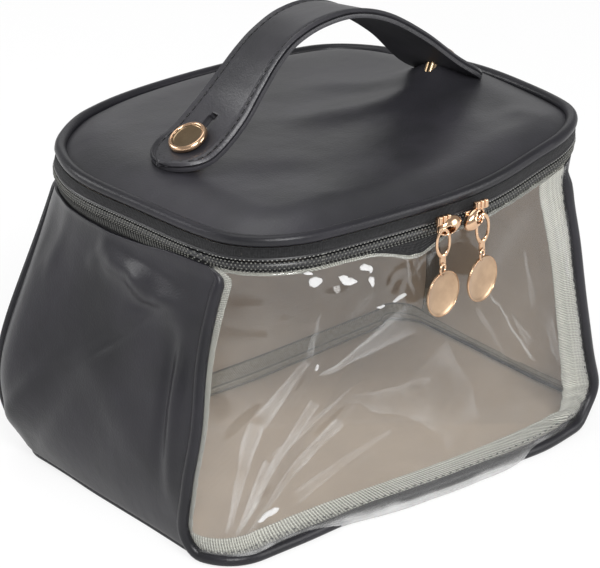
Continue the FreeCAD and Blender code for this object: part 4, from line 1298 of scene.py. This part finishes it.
for side, look in sliderShapes.items():
    put, middle = turnTo(pull[side]), zipper["parting"]
    bm = bmesh.new()
    addHood(bm, look["body"], middle + look["lift"], -look["lean"], look["look"])
    for shift, y, rise, sizes, bevel, segments in sliderBlocks:
        addBlock(bm, look["body"] * shift, y, middle + rise, sizes, bevel, 1.0, segments)
    ridgeX, ridgeZ = look["body"] + look["ridges"][0], middle + look["ridges"][1]
    addBlock(bm, ridgeX, -86.3, ridgeZ - 0.9, (6.0, 2.0, 3.4), 0.4)
    for step in (-1, 0, 1):    # three ridges on the tail block
        addBlock(bm, ridgeX + step * 2.0, -87.1, ridgeZ - 0.5, (1.7, 1.7, 3.3), 0.4, 0.92)
    makePull(side, "slider", bm, put, "_slider")

    plane, drop = pull["plane"], look["link"]
    put = put @ Matrix.Translation((look["side"], 0, 0))
    bm = bmesh.new()
    addRing(bm, (0, plane, 117.6 + drop), 3.05, 0.6, (0, 1, 0), 40, (1.0, 1, 1.8))
    for y, height, sizes, bevel, taper in linkBlocks:
        addBlock(bm, 0, plane + y, height + drop, sizes, bevel, taper, 2)
    makePull(side, "link", bm, put, "_pull_link")

    bm = bmesh.new()
    addRing(bm, (0, plane, pull["ringHeight"] + look["ring"]), 2.45, 0.5, (0.5, -0.86, 0))
    makePull(side, "ring", bm, put, "_jump_ring")

    face = (put @ Matrix.Translation((0, plane, pull["discHeight"] + look["disc"]))
            @ Matrix.Rotation(math.radians(pull["discTurn"]), 4, "Z") @ Matrix.Rotation(quarterTurn, 4, "X"))
    makePiece(side + "Disc", spun(discProfile, face, 72), satinGold, side + "_disc", [side + "_pull_disc"])
    makePiece(side + "DiscRim", spun(discRim, face, 72), polishedGold, side + "_disc")
print("pulls made")

dress("bottom_board", board)


# A tape narrower than 10 mm counts as 10 mm wide, beside its true area
print("no cloth sizes given")


# Floor, light and camera

stage = {"floor": (0.86, 0.86, 0.86, 1), "floorGlow": 0.8, "glossyGlow": 0.45, "surround": 0.42}


def makeFloor():
    bm = bmesh.new()
    bmesh.ops.create_grid(bm, x_segments=1, y_segments=1, size=3)
    floor = makeObject("floor", meshOf("floor", bm))
    pale = Finish("paleFloor", "")
    pale.paint(colour=stage["floor"], roughness=0.9, specular=0.1)
    seen = (pale.read("LightPath", output="Is Camera Ray")
            + pale.read("LightPath", output="Is Glossy Ray") * stage["glossyGlow"]
            + pale.read("LightPath", output="Is Transmission Ray")).atMost(1.0)
    glow = pale.read("Emission", None, {0: (1, 1, 1, 1), 1: 1.0})
    lit = Reading(pale, pale.surface.outputs[0])
    pale.show(pale.blend(seen * stage["floorGlow"], lit, glow))
    floor.data.materials.append(pale.material)


def makeWorld():    # white where it is seen, dimmer as light
    world = bpy.data.worlds.new("studio")
    bpy.context.scene.world = world
    world.use_nodes = True
    sky = Nodes(world.node_tree)
    through = sky.read("LightPath", output="Is Transmission Ray")
    seen = sky.read("LightPath", output="Is Camera Ray").atLeast(through)
    back = sky.tree.nodes["Background"].inputs
    sky.feed(back["Color"], (1, 1, 1, 1))
    sky.feed(back["Strength"], sky.read("MapRange", None, {"Value": seen, "To Min": stage["surround"]}))


lamps = {    # where it stands, what it faces, width, height, power
    "topSoftbox": ((-0.1, 0.2, 1.0), (0, 0, 0.1), 0.7, 0.5, 2.5),
    "backSoftbox": ((0.66, 0.78, 0.5), (0, 0, 0.1), 0.8, 0.35, 0.6),
    "leftSoftbox": ((-1.08, 0.28, 0.26), (0, 0, 0.06), 0.35, 0.4, 0.6),
    "backLeftStrip": ((-0.72, 0.8, 0.58), (0, 0, 0.08), 0.6, 0.4, 4.8),
    "frontPanel": ((-0.5, -0.9, 0.84), (0.03, 0, 0.03), 0.5, 0.4, 15.5),
    "rightSoftbox": ((0.7, -1.0, 0.44), (0, 0, 0.1), 0.5, 0.8, 7.4),
}
makeFloor()
makeWorld()
for name, (spot, aim, width, height, power) in lamps.items():
    light = bpy.data.lights.new(name, "AREA")
    light.shape = "RECTANGLE"
    light.size, light.size_y, light.energy = width, height, power
    lamp = makeObject(name, light)
    lamp.location = spot
    lamp.rotation_euler = (Vector(spot) - Vector(aim)).to_track_quat("Z", "Y").to_euler()

camera = {"azimuth": -38.3, "elevation": 24.6, "lens": 210.0, "distance": 1.3965,
          "target": (0, 0, 0.0615), "shift": (-15.4 / 600, 12.1 / 600)}
turn, climb = math.radians(camera["azimuth"]), math.radians(camera["elevation"])
back = Vector((math.sin(turn) * math.cos(climb), -math.cos(turn) * math.cos(climb), math.sin(climb)))
lens = bpy.data.cameras.new("camera")
lens.lens, lens.sensor_width = camera["lens"], 36
lens.shift_x, lens.shift_y = camera["shift"]
eye = makeObject("camera", lens)
eye.location = Vector(camera["target"]) + back * camera["distance"]
eye.rotation_euler = back.to_track_quat("Z", "Y").to_euler()
bpy.context.scene.camera = eye
bpy.context.scene.view_settings.view_transform = "Standard"
print("stage made")
